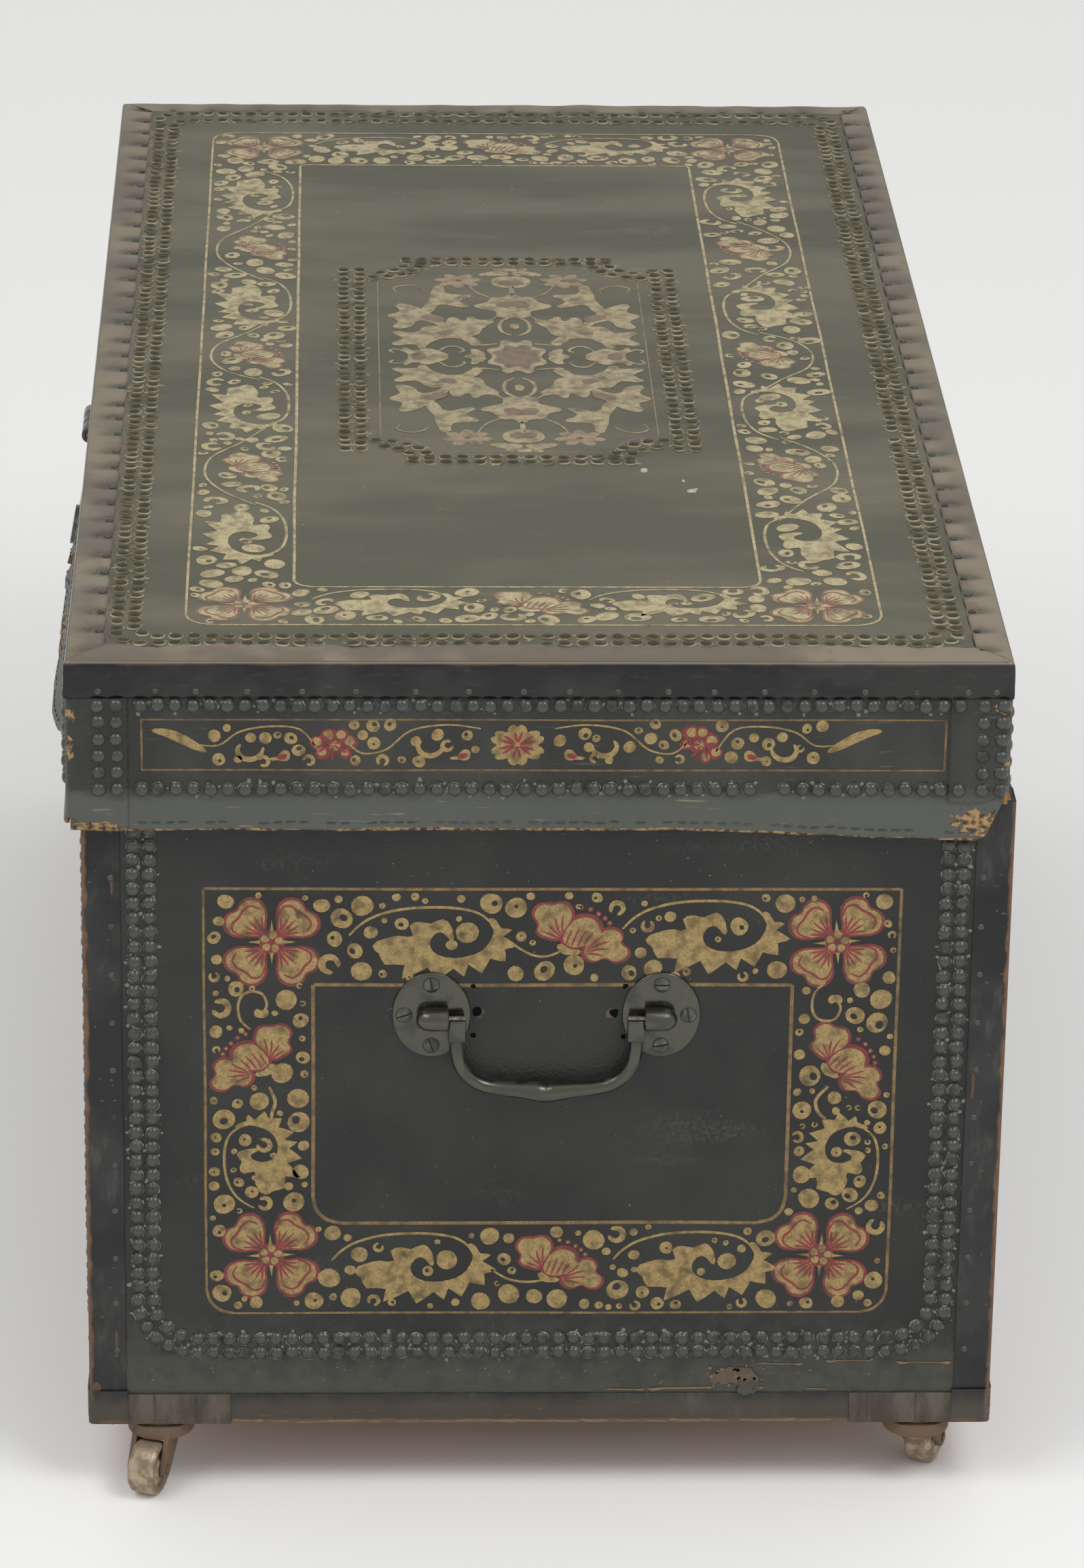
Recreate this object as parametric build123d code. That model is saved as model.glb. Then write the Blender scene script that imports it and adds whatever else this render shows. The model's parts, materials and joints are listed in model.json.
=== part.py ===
"""A leather-covered, dovetailed wooden trunk: case, hinged lid, hasp lock, drop handles and casters.

Sizes are in millimetres. X runs along the trunk, Y from the lock side (-Y) to the hinge side (+Y),
and Z is up from the floor. "near" is the +X end and "far" is the -X end.
"""
import os
from math import atan, cos, degrees, pi, radians, sin

from build123d import *

os.makedirs("parts", exist_ok=True)

# ---- Driving sizes: the case, measured over its edge bindings ----
CASE_LENGTH = 924.0
CASE_WIDTH = 460.0
CASE_HEIGHT = 345.0
CASE_CORNER_RADIUS = 2.5
WALL_BOARD = 13.0
BOTTOM_BOARD = 12.0
HIDE = 1.8
BINDING = 0.8
CORNER_BINDING_WIDTH = 19.0
BASE_BINDING_HEIGHT = 17.0
BASE_CAP_LENGTH = 72.0
BASE_CAP = 0.6

# ---- The dovetails that join the boards and the lid's rails ----
CASE_TAIL_PITCH = 55.5
LID_TAIL_PITCH = 31.0
PIN_NARROW_WIDTH = 14.0
TAIL_SLOPE = 1 / 6

# ---- The lid, measured from the parting line to its bound top edges ----
LID_HEIGHT = 77.0
LID_OVERHANG_FRONT = 6.7
LID_OVERHANG_END = 6.0
LID_SETBACK_BACK = 4.5
LID_CORNER_RADIUS = 4.0
LID_BOARD = 12.0
LID_RAIL = 13.0
BAND = 2.6
APRON_DROP = 13.0
PARTING_GAP = 0.4
TOP_BINDING_WIDTH = 18.5
TOP_BINDING_DROP = 20.0
CORNER_WRAP_WIDTH = 30.0

# ---- Butt hinges ----
HINGE_SPACING = 600.0
HINGE_LENGTH = 64.0
HINGE_LEAF = 1.5
HINGE_LEAF_REACH = 17.0
HINGE_KNUCKLE_RADIUS = 3.2
HINGE_PIN_RADIUS = 1.6
HINGE_STANDOFF = 0.4
HINGE_SCREW_REACH = 14.3
HINGE_SCREW_PITCH = 22.0

# ---- Hasp and lock ----
HASP_PIVOT_HEIGHT = 32.0
HASP_LEAF_HEIGHT = 23.0
HASP_LEAF = 1.6
HASP_KNUCKLE_RADIUS = 4.2
HASP_PIN_RADIUS = 1.8
HASP_WIDTH = 40.0
HASP_TONGUE_WIDTH = 30.0
HASP_PLATE = 2.4
HASP_STANDOFF = 0.5
HASP_END_RADIUS = 18.0
HASP_BOSS_RADIUS = 11.0
HASP_BOSS_HEIGHT = 2.0
HASP_PIN_SPACING = 24.0
HASP_REST_SWING = 10.0
STAPLE_DROP = 60.0
STAPLE_THICKNESS = 4.0
STAPLE_HEIGHT = 10.0
STAPLE_LENGTH = 14.0
STAPLE_EYE_DEPTH = 3.8
STAPLE_EYE_WIDTH = 4.4
STAPLE_EYE_HEIGHT = 5.2
SLOT_WIDTH = 6.0
SLOT_SPARE = 2.0
LOCK_PLATE = 1.2
LOCK_PLATE_WIDTH = 62.0
LOCK_PLATE_HEIGHT = 56.0
LOCK_PLATE_TUCK = 5.0
LOCK_PLATE_CANT = 7.0
LOCK_PIN_INSET = 6.0
LOCK_CASE_WIDTH = 44.0
LOCK_CASE_HEIGHT = 42.0
LOCK_CASE_DEPTH = 10.0
LOCK_CASE_WALL = 1.2
BOLT_LENGTH = 16.0
BOLT_PLAY = 0.3
BOLT_CLEARANCE = 1.0
GUIDE_THICKNESS = 2.0
KEYHOLE_DROP = 18.0
KEYHOLE_RADIUS = 2.4
KEYHOLE_SLOT_WIDTH = 2.2
KEYHOLE_SLOT_LENGTH = 7.0
TRIM_PIN_RADIUS = 1.1
TRIM_PIN_LENGTH = 8.0
TRIM_PIN_HEAD_RADIUS = 2.2
TRIM_PIN_HEAD_HEIGHT = 1.2

# ---- Drop handles ----
HANDLE_HEIGHT = 230.0
HANDLE_SPAN = 89.0
HANDLE_PLATE = 1.5
HANDLE_PLATE_WIDTH = 39.0
HANDLE_PLATE_HEIGHT = 46.0
HANDLE_PLATE_SPACING = 114.5
HANDLE_SCREW_REACH_Z = 16.5
HANDLE_SCREW_REACH_Y = 13.5
BAIL_STANDOFF = 6.5
BAIL_DROP = 38.5
BAIL_LEG_RADIUS = 3.2
BAIL_GRIP_RADIUS = 5.2
BAIL_CORNER_RADIUS = 20.0
BAIL_CORNER_BENDS = 3
BAIL_FLATS = 16
BAIL_BLOCK_WIDTH = 8.0
BAIL_BLOCK_THICKNESS = 7.0
BAIL_BLOCK_HEIGHT = 11.0
BAIL_PIN_RADIUS = 1.8
BAIL_PIN_REACH = 7.0
BOSS_RADIUS = 6.0
BOSS_LENGTH = 10.0
SIDE_CLEARANCE = 0.4

# ---- Casters ----
CASTER_HEIGHT = 38.0
CASTER_INSET_END = 15.0
CASTER_INSET_SIDE = 36.0
CASTER_TRAIL = 17.5
CASTER_PLATE = 1.6
CASTER_PLATE_RADIUS = 14.0
CASTER_SCREW_CIRCLE = 9.5
CROWN_RADIUS = 17.0
CROWN_HEIGHT = 6.5
SWIVEL_GAP = 0.4
KINGPIN_RADIUS = 3.0
KINGPIN_HEAD_RADIUS = 5.0
KINGPIN_HEAD_HEIGHT = 1.2
WHEEL_RADIUS = 14.0
WHEEL_WIDTH = 14.0
FORK_LEG = 2.6
FORK_TOE_RADIUS = 4.8
FORK_LEG_TOP = 14.0
AXLE_RADIUS = 2.4
AXLE_PROUD = 0.8
NEAR_FRONT_SWING = -20.0
NEAR_BACK_SWING = 158.0

# ---- Fits and screws ----
RUNNING_CLEARANCE = 0.05
SCREW_RADIUS = 1.6
SCREW_TIP_RADIUS = 0.6
SCREW_LENGTH = 11.0
SCREW_HEAD_RADIUS = 3.8
SCREW_HEAD_HEIGHT = 1.5
SMALL_SCREW_HEAD_RADIUS = 2.6
SCREW_SLOT_WIDTH = 0.9
SCREW_SLOT_DEPTH = 0.6
FASTENER_SIDES = 8

# ---- Planes worked out from the driving sizes ----
UNDERSIDE = CASTER_HEIGHT
PARTING = UNDERSIDE + CASE_HEIGHT
TOP = PARTING + LID_HEIGHT
RAIL_BOTTOM = PARTING + PARTING_GAP
BOARDS_TOP = TOP - HIDE
RAIL_TOP = BOARDS_TOP - LID_BOARD
APRON_BOTTOM = PARTING - APRON_DROP
HIDE_X = CASE_LENGTH / 2 - BINDING
HIDE_Y = CASE_WIDTH / 2 - BINDING
LID_X = CASE_LENGTH / 2 + LID_OVERHANG_END
LID_FRONT = -CASE_WIDTH / 2 - LID_OVERHANG_FRONT
LID_BACK = CASE_WIDTH / 2 - LID_SETBACK_BACK
MITRE_DEPTH = 60.0

pieces = {}


def slab(x, y, z):
    """A box between low and high values along each axis."""
    size = (x[1] - x[0], y[1] - y[0], z[1] - z[0])
    return Pos((x[0] + x[1]) / 2, (y[0] + y[1]) / 2, (z[0] + z[1]) / 2) * Box(*size)


def rod(radius, start, end):
    """A round bar from one point to another."""
    path = Vector(*end) - Vector(*start)
    return extrude(Plane(origin=start, z_dir=path) * Circle(radius), path.length)


def grown(rectangle, amount):
    """A rectangle ((x low, x high), (y low, y high)) with every side moved outwards."""
    return tuple((low - amount, high + amount) for low, high in rectangle)


def column(rectangle, z, radius=0.0):
    """An upright prism on a rectangle, with its four upright edges rounded."""
    solid = slab(rectangle[0], rectangle[1], z)
    return fillet(solid.edges().filter_by(Axis.Z), radius) if radius > 0 else solid


def ring(outer, inner, z, outer_radius, inner_radius=0.0):
    """The wall left between two nested columns."""
    return column(outer, z, outer_radius) - column(inner, z, inner_radius)


def corner_boxes(rectangle, reach, z):
    """Four square columns that cover the corners of a rectangle."""
    boxes = []
    for x in rectangle[0]:
        for y in rectangle[1]:
            inward_x = x - reach if x > 0 else x + reach
            inward_y = y - reach if y > 0 else y + reach
            box_x = sorted((inward_x, x + (x - inward_x)))
            box_y = sorted((inward_y, y + (y - inward_y)))
            boxes.append(slab(box_x, box_y, z))
    return boxes


def mitred(wall, rectangle, z):
    """A wall ring cut on the diagonal at its corners: front, back, near and far lengths."""
    (x0, x1), (y0, y1) = rectangle
    inner = grown(rectangle, -MITRE_DEPTH)
    (u0, u1), (v0, v1) = inner
    outlines = {
        "front": [(x0, y0), (x1, y0), (u1, v0), (u0, v0)],
        "back": [(x1, y1), (x0, y1), (u0, v1), (u1, v1)],
        "near": [(x1, y0), (x1, y1), (u1, v1), (u1, v0)],
        "far": [(x0, y1), (x0, y0), (u0, v0), (u0, v1)],
    }
    lengths = {}
    for side, corners in outlines.items():
        face = make_face(Polyline(*corners, close=True))
        lengths[side] = wall & extrude(Pos(0, 0, z[0]) * face, z[1] - z[0])
    return lengths


def solids_of(shape):
    """The separate solids in one shape or in a list of shapes."""
    shapes = shape if isinstance(shape, (list, tuple)) else [shape]
    return [solid for item in shapes for solid in item.solids()]


def mirrored(shapes):
    """The same pieces on the far end."""
    return [mirror(solid, about=Plane.YZ) for solid in solids_of(shapes)]


# ---- Dovetailed boxes: the case walls and the lid rails ----
def tails(root_x, depth, y, z, pitch):
    """The tails on one end of a board. They widen outwards, so the ends can't be pulled off."""
    count = max(1, round((z[1] - z[0]) / pitch))
    step = (z[1] - z[0]) / count
    tip = (step - PIN_NARROW_WIDTH) / 2
    root = tip - TAIL_SLOPE * abs(depth)
    blanks = []
    for index in range(count):
        middle = z[0] + (index + 0.5) * step
        profile = Polyline(
            (root_x, y[0], middle - root),
            (root_x + depth, y[0], middle - tip),
            (root_x + depth, y[0], middle + tip),
            (root_x, y[0], middle + root),
            close=True,
        )
        blanks.append(extrude(make_face(profile), y[1] - y[0], dir=(0, 1, 0)))
    return blanks


def dovetailed_box(outside, board, z, pitch):
    """Front and back boards with tails, and end boards with the matching sockets."""
    (x0, x1), (y0, y1) = outside
    long_sides = {}
    for side, y in (("front", (y0, y0 + board)), ("back", (y1 - board, y1))):
        near_tails = tails(x1 - board, board, y, z, pitch)
        far_tails = tails(x0 + board, -board, y, z, pitch)
        plain = slab((x0 + board, x1 - board), y, z)
        long_sides[side] = plain + near_tails + far_tails
    ends = {}
    for side, x in (("near", (x1 - board, x1)), ("far", (x0, x0 + board))):
        ends[side] = slab(x, (y0, y1), z) - long_sides["front"] - long_sides["back"]
    return {**long_sides, **ends}


# ---- Screws and pins ----
def tapered(sides, wide, narrow):
    """A many-flatted taper between two (height, radius) pairs along Z, the wide one first."""
    length = narrow[0] - wide[0]
    lean = degrees(atan((wide[1] - narrow[1]) * cos(pi / sides) / abs(length)))
    base = Pos(0, 0, wide[0]) * RegularPolygon(wide[1], sides)
    return extrude(base, abs(length), dir=(0, 0, 1 if length > 0 else -1), taper=lean)


def screw_blank(head_radius):
    """A countersunk screw without its slot, head face at the origin, pointing down."""
    neck = (-SCREW_HEAD_HEIGHT, SCREW_RADIUS)
    shank = tapered(FASTENER_SIDES, neck, (-SCREW_LENGTH, SCREW_TIP_RADIUS))
    return tapered(FASTENER_SIDES, (0, head_radius), neck) + shank


def screw(head_radius, slot_angle):
    """A countersunk screw with its slot turned to an angle."""
    slot = Box(2 * head_radius + 1, SCREW_SLOT_WIDTH, 2 * SCREW_SLOT_DEPTH)
    return screw_blank(head_radius) - Rot(0, 0, slot_angle) * slot


def trim_pin():
    """A small raised-head pin, seated at the origin, pointing down."""
    shank = tapered(FASTENER_SIDES, (0, TRIM_PIN_RADIUS), (-TRIM_PIN_LENGTH, TRIM_PIN_RADIUS))
    top = (TRIM_PIN_HEAD_HEIGHT, TRIM_PIN_HEAD_RADIUS / 2)
    return shank + tapered(FASTENER_SIDES, (0, TRIM_PIN_HEAD_RADIUS), top)


def facing(point, outward):
    """The place of something that sits at a point and faces along a direction."""
    return Plane(origin=point, z_dir=outward).location


# ---- The case ----
CASE_OUTSIDE = ((-CASE_LENGTH / 2, CASE_LENGTH / 2), (-CASE_WIDTH / 2, CASE_WIDTH / 2))
CASE_HIDE_OUTSIDE = grown(CASE_OUTSIDE, -BINDING)
CASE_WOOD_OUTSIDE = grown(CASE_HIDE_OUTSIDE, -HIDE)
CASE_SIDES_Z = (UNDERSIDE, PARTING)
WALLS_Z = (UNDERSIDE + BOTTOM_BOARD, PARTING)


def make_case():
    """Boards, leather and edge bindings of the case, before the fittings cut into them."""
    walls = dovetailed_box(CASE_WOOD_OUTSIDE, WALL_BOARD, WALLS_Z, CASE_TAIL_PITCH)
    hide_radius = CASE_CORNER_RADIUS - BINDING
    hides = ring(CASE_HIDE_OUTSIDE, CASE_WOOD_OUTSIDE, CASE_SIDES_Z, hide_radius)
    panels = mitred(hides, CASE_HIDE_OUTSIDE, CASE_SIDES_Z)
    for side, name in (("front", "front"), ("back", "back"), ("near", "near_end"), ("far", "far_end")):
        pieces[name + "_board"] = walls[side]
        pieces[name + "_leather"] = panels[side]
    pieces["bottom_board"] = slab(*CASE_WOOD_OUTSIDE, (UNDERSIDE, UNDERSIDE + BOTTOM_BOARD))


def make_case_bindings():
    """Upright corner bindings, base bindings between them, and caps over the lower corners."""
    base_z = (UNDERSIDE, UNDERSIDE + BASE_BINDING_HEIGHT)
    skin = (CASE_OUTSIDE, CASE_HIDE_OUTSIDE)
    radii = (CASE_CORNER_RADIUS, CASE_CORNER_RADIUS - BINDING)
    upright = ring(*skin, CASE_SIDES_Z, *radii)
    base = ring(*skin, base_z, *radii)
    caps = ring(grown(CASE_OUTSIDE, BASE_CAP), CASE_OUTSIDE, base_z, radii[0] + BASE_CAP, radii[0])
    corners = corner_boxes(CASE_OUTSIDE, CORNER_BINDING_WIDTH, CASE_SIDES_Z)
    pieces["corner_bindings"] = [upright & box for box in corners]
    pieces["base_bindings"] = base - corners
    pieces["base_corner_caps"] = [caps & box for box in corner_boxes(CASE_OUTSIDE, BASE_CAP_LENGTH, base_z)]


# ---- The lid ----
LID_OUTSIDE = ((-LID_X, LID_X), (LID_FRONT, LID_BACK))
LID_BAND_OUTSIDE = grown(LID_OUTSIDE, -BINDING)
LID_WOOD_OUTSIDE = grown(LID_BAND_OUTSIDE, -BAND)
BAND_FRONT = LID_BAND_OUTSIDE[1][0]
BAND_BACK = LID_BAND_OUTSIDE[1][1]


def make_lid():
    """Rails, top board, leather bands with the hanging apron, and the top leather."""
    rails = dovetailed_box(LID_WOOD_OUTSIDE, LID_RAIL, (RAIL_BOTTOM, RAIL_TOP), LID_TAIL_PITCH)
    band_radius = LID_CORNER_RADIUS - BINDING
    apron_z = (APRON_BOTTOM, BOARDS_TOP)
    bands = mitred(ring(LID_BAND_OUTSIDE, LID_WOOD_OUTSIDE, apron_z, band_radius), LID_BAND_OUTSIDE, apron_z)
    below_rail = slab(*grown(LID_BAND_OUTSIDE, BAND), (APRON_BOTTOM, RAIL_BOTTOM))
    bands["back"] = bands["back"] - below_rail
    for side in ("front", "back"):
        pieces[f"lid_{side}_rail"] = rails[side]
        pieces[f"lid_{side}_band"] = bands[side]
    for side in ("near", "far"):
        pieces[f"lid_{side}_end_rail"] = rails[side]
        pieces[f"lid_{side}_end_band"] = bands[side]
    pieces["lid_board"] = slab(*LID_WOOD_OUTSIDE, (RAIL_TOP, BOARDS_TOP))
    pared = column(LID_BAND_OUTSIDE, (BOARDS_TOP, TOP - BINDING), band_radius)
    field = slab(*grown(LID_OUTSIDE, -TOP_BINDING_WIDTH), (TOP - BINDING, TOP))
    pieces["lid_top_leather"] = pared + field


def make_lid_bindings():
    """Folded top bindings let in flush with the top leather, and leather wraps at the corners."""
    binding_z = (TOP - TOP_BINDING_DROP, TOP)
    inner_radius = LID_CORNER_RADIUS - BINDING
    under = column(LID_BAND_OUTSIDE, (binding_z[0], TOP - BINDING), inner_radius)
    field = slab(*grown(LID_OUTSIDE, -TOP_BINDING_WIDTH), binding_z)
    folded = column(LID_OUTSIDE, binding_z, LID_CORNER_RADIUS) - under - field
    pieces["lid_bindings"] = list(mitred(folded, LID_OUTSIDE, binding_z).values())
    wrap_z = (APRON_BOTTOM, binding_z[0])
    wrap = ring(LID_OUTSIDE, LID_BAND_OUTSIDE, wrap_z, LID_CORNER_RADIUS, inner_radius)
    wraps = [wrap & box for box in corner_boxes(LID_OUTSIDE, CORNER_WRAP_WIDTH, wrap_z)]
    back_edge = slab(grown(LID_OUTSIDE, 1)[0], (BAND_BACK, LID_BACK + 1), (APRON_BOTTOM, RAIL_BOTTOM))
    pieces["lid_corner_wraps"] = [piece - back_edge for piece in wraps]


# ---- Butt hinges ----
HINGE_Y = HIDE_Y + HINGE_STANDOFF + HINGE_KNUCKLE_RADIUS
HINGE_Z = PARTING + PARTING_GAP / 2
LEAF_Y = (HINGE_Y - HINGE_LEAF_REACH, HINGE_Y - HINGE_KNUCKLE_RADIUS - HINGE_STANDOFF)
KNUCKLE_THIRD = HINGE_LENGTH / 3


def hinge_leaf(middle_x, leaf_z, spans, bore_radius):
    """A leaf with knuckles over some lengths of the hinge."""
    half = HINGE_LENGTH / 2
    leaf = slab((middle_x - half, middle_x + half), LEAF_Y, leaf_z)
    for low, high in spans:
        x = (middle_x - half + low, middle_x - half + high)
        leaf += slab(x, (LEAF_Y[1], HINGE_Y), leaf_z)
        leaf += rod(HINGE_KNUCKLE_RADIUS, (x[0], HINGE_Y, HINGE_Z), (x[1], HINGE_Y, HINGE_Z))
    bore = rod(bore_radius, (middle_x - half, HINGE_Y, HINGE_Z), (middle_x + half, HINGE_Y, HINGE_Z))
    return leaf - bore


def hinge_screws(middle_x, surface_z, outward, head_radius, blank):
    """Three screws along a leaf, driven away from the outward direction."""
    y = HINGE_Y - HINGE_SCREW_REACH
    screws = []
    for step in (-1, 0, 1):
        place = facing((middle_x + step * HINGE_SCREW_PITCH, y, surface_z), (0, 0, outward))
        screws.append(place * (screw_blank(head_radius) if blank else screw(head_radius, 0)))
    return screws


def make_hinges():
    """Two butt hinges let into the back board and the back rail."""
    joint_gap = SIDE_CLEARANCE / 2
    outer = ((0, KNUCKLE_THIRD - joint_gap), (2 * KNUCKLE_THIRD + joint_gap, HINGE_LENGTH))
    centre = ((KNUCKLE_THIRD + joint_gap, 2 * KNUCKLE_THIRD - joint_gap),)
    case_z = (PARTING - HINGE_LEAF, PARTING)
    lid_z = (RAIL_BOTTOM, RAIL_BOTTOM + HINGE_LEAF)
    case_leaves, lid_leaves, pins, case_screws, lid_screws = [], [], [], [], []
    for middle_x in (-HINGE_SPACING / 2, HINGE_SPACING / 2):
        half = HINGE_LENGTH / 2
        pocket_x = (middle_x - half, middle_x + half)
        case_pocket = slab(pocket_x, (LEAF_Y[0], HINGE_Y), case_z)
        lid_pocket = slab(pocket_x, (LEAF_Y[0], HINGE_Y), lid_z)
        for name in ("back_board", "back_leather"):
            pieces[name] -= case_pocket
        for name in ("lid_back_rail", "lid_back_band"):
            pieces[name] -= lid_pocket
        head = SMALL_SCREW_HEAD_RADIUS
        case_leaf = hinge_leaf(middle_x, case_z, outer, HINGE_PIN_RADIUS)
        lid_leaf = hinge_leaf(middle_x, lid_z, centre, HINGE_PIN_RADIUS + RUNNING_CLEARANCE)
        case_leaves.append(case_leaf - hinge_screws(middle_x, case_z[1], 1, head, True))
        lid_leaves.append(lid_leaf - hinge_screws(middle_x, lid_z[0], -1, head, True))
        case_screws += hinge_screws(middle_x, case_z[1], 1, head, False)
        lid_screws += hinge_screws(middle_x, lid_z[0], -1, head, False)
        ends = [(x, HINGE_Y, HINGE_Z) for x in pocket_x]
        pins.append(rod(HINGE_PIN_RADIUS, *ends))
    pieces["case_hinge_leaves"] = case_leaves
    pieces["lid_hinge_leaves"] = lid_leaves
    pieces["hinge_pins"] = pins
    pieces["case_hinge_screws"] = case_screws
    pieces["lid_hinge_screws"] = lid_screws


# ---- Hasp and lock ----
HASP_Y = BAND_FRONT - HASP_STANDOFF - HASP_KNUCKLE_RADIUS
HASP_Z = PARTING + HASP_PIVOT_HEIGHT
HASP_BACK = BAND_FRONT - HASP_STANDOFF
STAPLE_Z = HASP_Z - STAPLE_DROP
STAPLE_TIP = HASP_BACK + STAPLE_LENGTH
EYE_Y = STAPLE_TIP - STAPLE_EYE_DEPTH
LOCK_FACE = -HIDE_Y
SLOT_Z = (STAPLE_Z - STAPLE_HEIGHT / 2 - 1.5 * SLOT_SPARE, STAPLE_Z + STAPLE_HEIGHT / 2 + SLOT_SPARE / 2)


def make_hasp_leaf():
    """The fixed half of the hasp's hinge, pinned to the lid's front band."""
    half = HASP_WIDTH / 2
    third = HASP_WIDTH / 3
    gap = SIDE_CLEARANCE / 2
    leaf_y = (BAND_FRONT - HASP_LEAF, BAND_FRONT)
    low_z = HASP_Z + HASP_KNUCKLE_RADIUS + SIDE_CLEARANCE
    leaf = slab((-half, half), leaf_y, (low_z, HASP_Z + HASP_LEAF_HEIGHT))
    top_corners = leaf.edges().filter_by(Axis.Y).group_by(Axis.Z)[-1]
    leaf = fillet(top_corners, HASP_LEAF_HEIGHT / 4)
    for x in ((-half, -half + third - gap), (half - third + gap, half)):
        leaf += slab(x, leaf_y, (HASP_Z, low_z))
        leaf += rod(HASP_KNUCKLE_RADIUS, (x[0], HASP_Y, HASP_Z), (x[1], HASP_Y, HASP_Z))
    ends = [(x, HASP_Y, HASP_Z) for x in (-half, half)]
    pins = []
    for x in (-HASP_PIN_SPACING / 2, HASP_PIN_SPACING / 2):
        height = HASP_Z + (HASP_LEAF_HEIGHT + HASP_KNUCKLE_RADIUS) / 2
        pins.append(facing((x, leaf_y[0], height), (0, -1, 0)) * trim_pin())
    leaf -= pins
    pieces["hasp_leaf"] = leaf - rod(HASP_PIN_RADIUS, *ends)
    pieces["hasp_pin"] = rod(HASP_PIN_RADIUS, *ends)
    pieces["hasp_leaf_pins"] = pins


def make_hasp():
    """The tongue with its round end and boss, and the staple behind it, swung a little way out."""
    half_knuckle = HASP_WIDTH / 6 - SIDE_CLEARANCE / 2
    half = HASP_TONGUE_WIDTH / 2
    high_z = HASP_Z - HASP_KNUCKLE_RADIUS - SIDE_CLEARANCE
    plate_y = (HASP_BACK - HASP_PLATE, HASP_BACK)
    front = (0, plate_y[0], STAPLE_Z)
    plate = slab((-half, half), plate_y, (STAPLE_Z, high_z))
    plate += rod(HASP_END_RADIUS, front, (0, plate_y[1], STAPLE_Z))
    plate += slab((-half_knuckle, half_knuckle), plate_y, (high_z, HASP_Z))
    plate += rod(HASP_BOSS_RADIUS, (0, plate_y[0] - HASP_BOSS_HEIGHT, STAPLE_Z), front)
    knuckle = [(x, HASP_Y, HASP_Z) for x in (-half_knuckle, half_knuckle)]
    plate += rod(HASP_KNUCKLE_RADIUS, *knuckle)
    plate -= rod(HASP_PIN_RADIUS + RUNNING_CLEARANCE, *knuckle)
    staple_x = (-STAPLE_THICKNESS / 2, STAPLE_THICKNESS / 2)
    staple_z = (STAPLE_Z - STAPLE_HEIGHT / 2, STAPLE_Z + STAPLE_HEIGHT / 2)
    staple = slab(staple_x, (HASP_BACK, STAPLE_TIP), staple_z)
    eye_y = (EYE_Y - STAPLE_EYE_WIDTH / 2, EYE_Y + STAPLE_EYE_WIDTH / 2)
    eye_z = (STAPLE_Z - STAPLE_EYE_HEIGHT / 2, STAPLE_Z + STAPLE_EYE_HEIGHT / 2)
    staple -= slab(staple_x, eye_y, eye_z)
    swing = Pos(0, HASP_Y, HASP_Z) * Rot(-HASP_REST_SWING, 0, 0) * Pos(0, -HASP_Y, -HASP_Z)
    pieces["hasp"] = swing * plate
    pieces["hasp_staple"] = swing * staple


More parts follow.
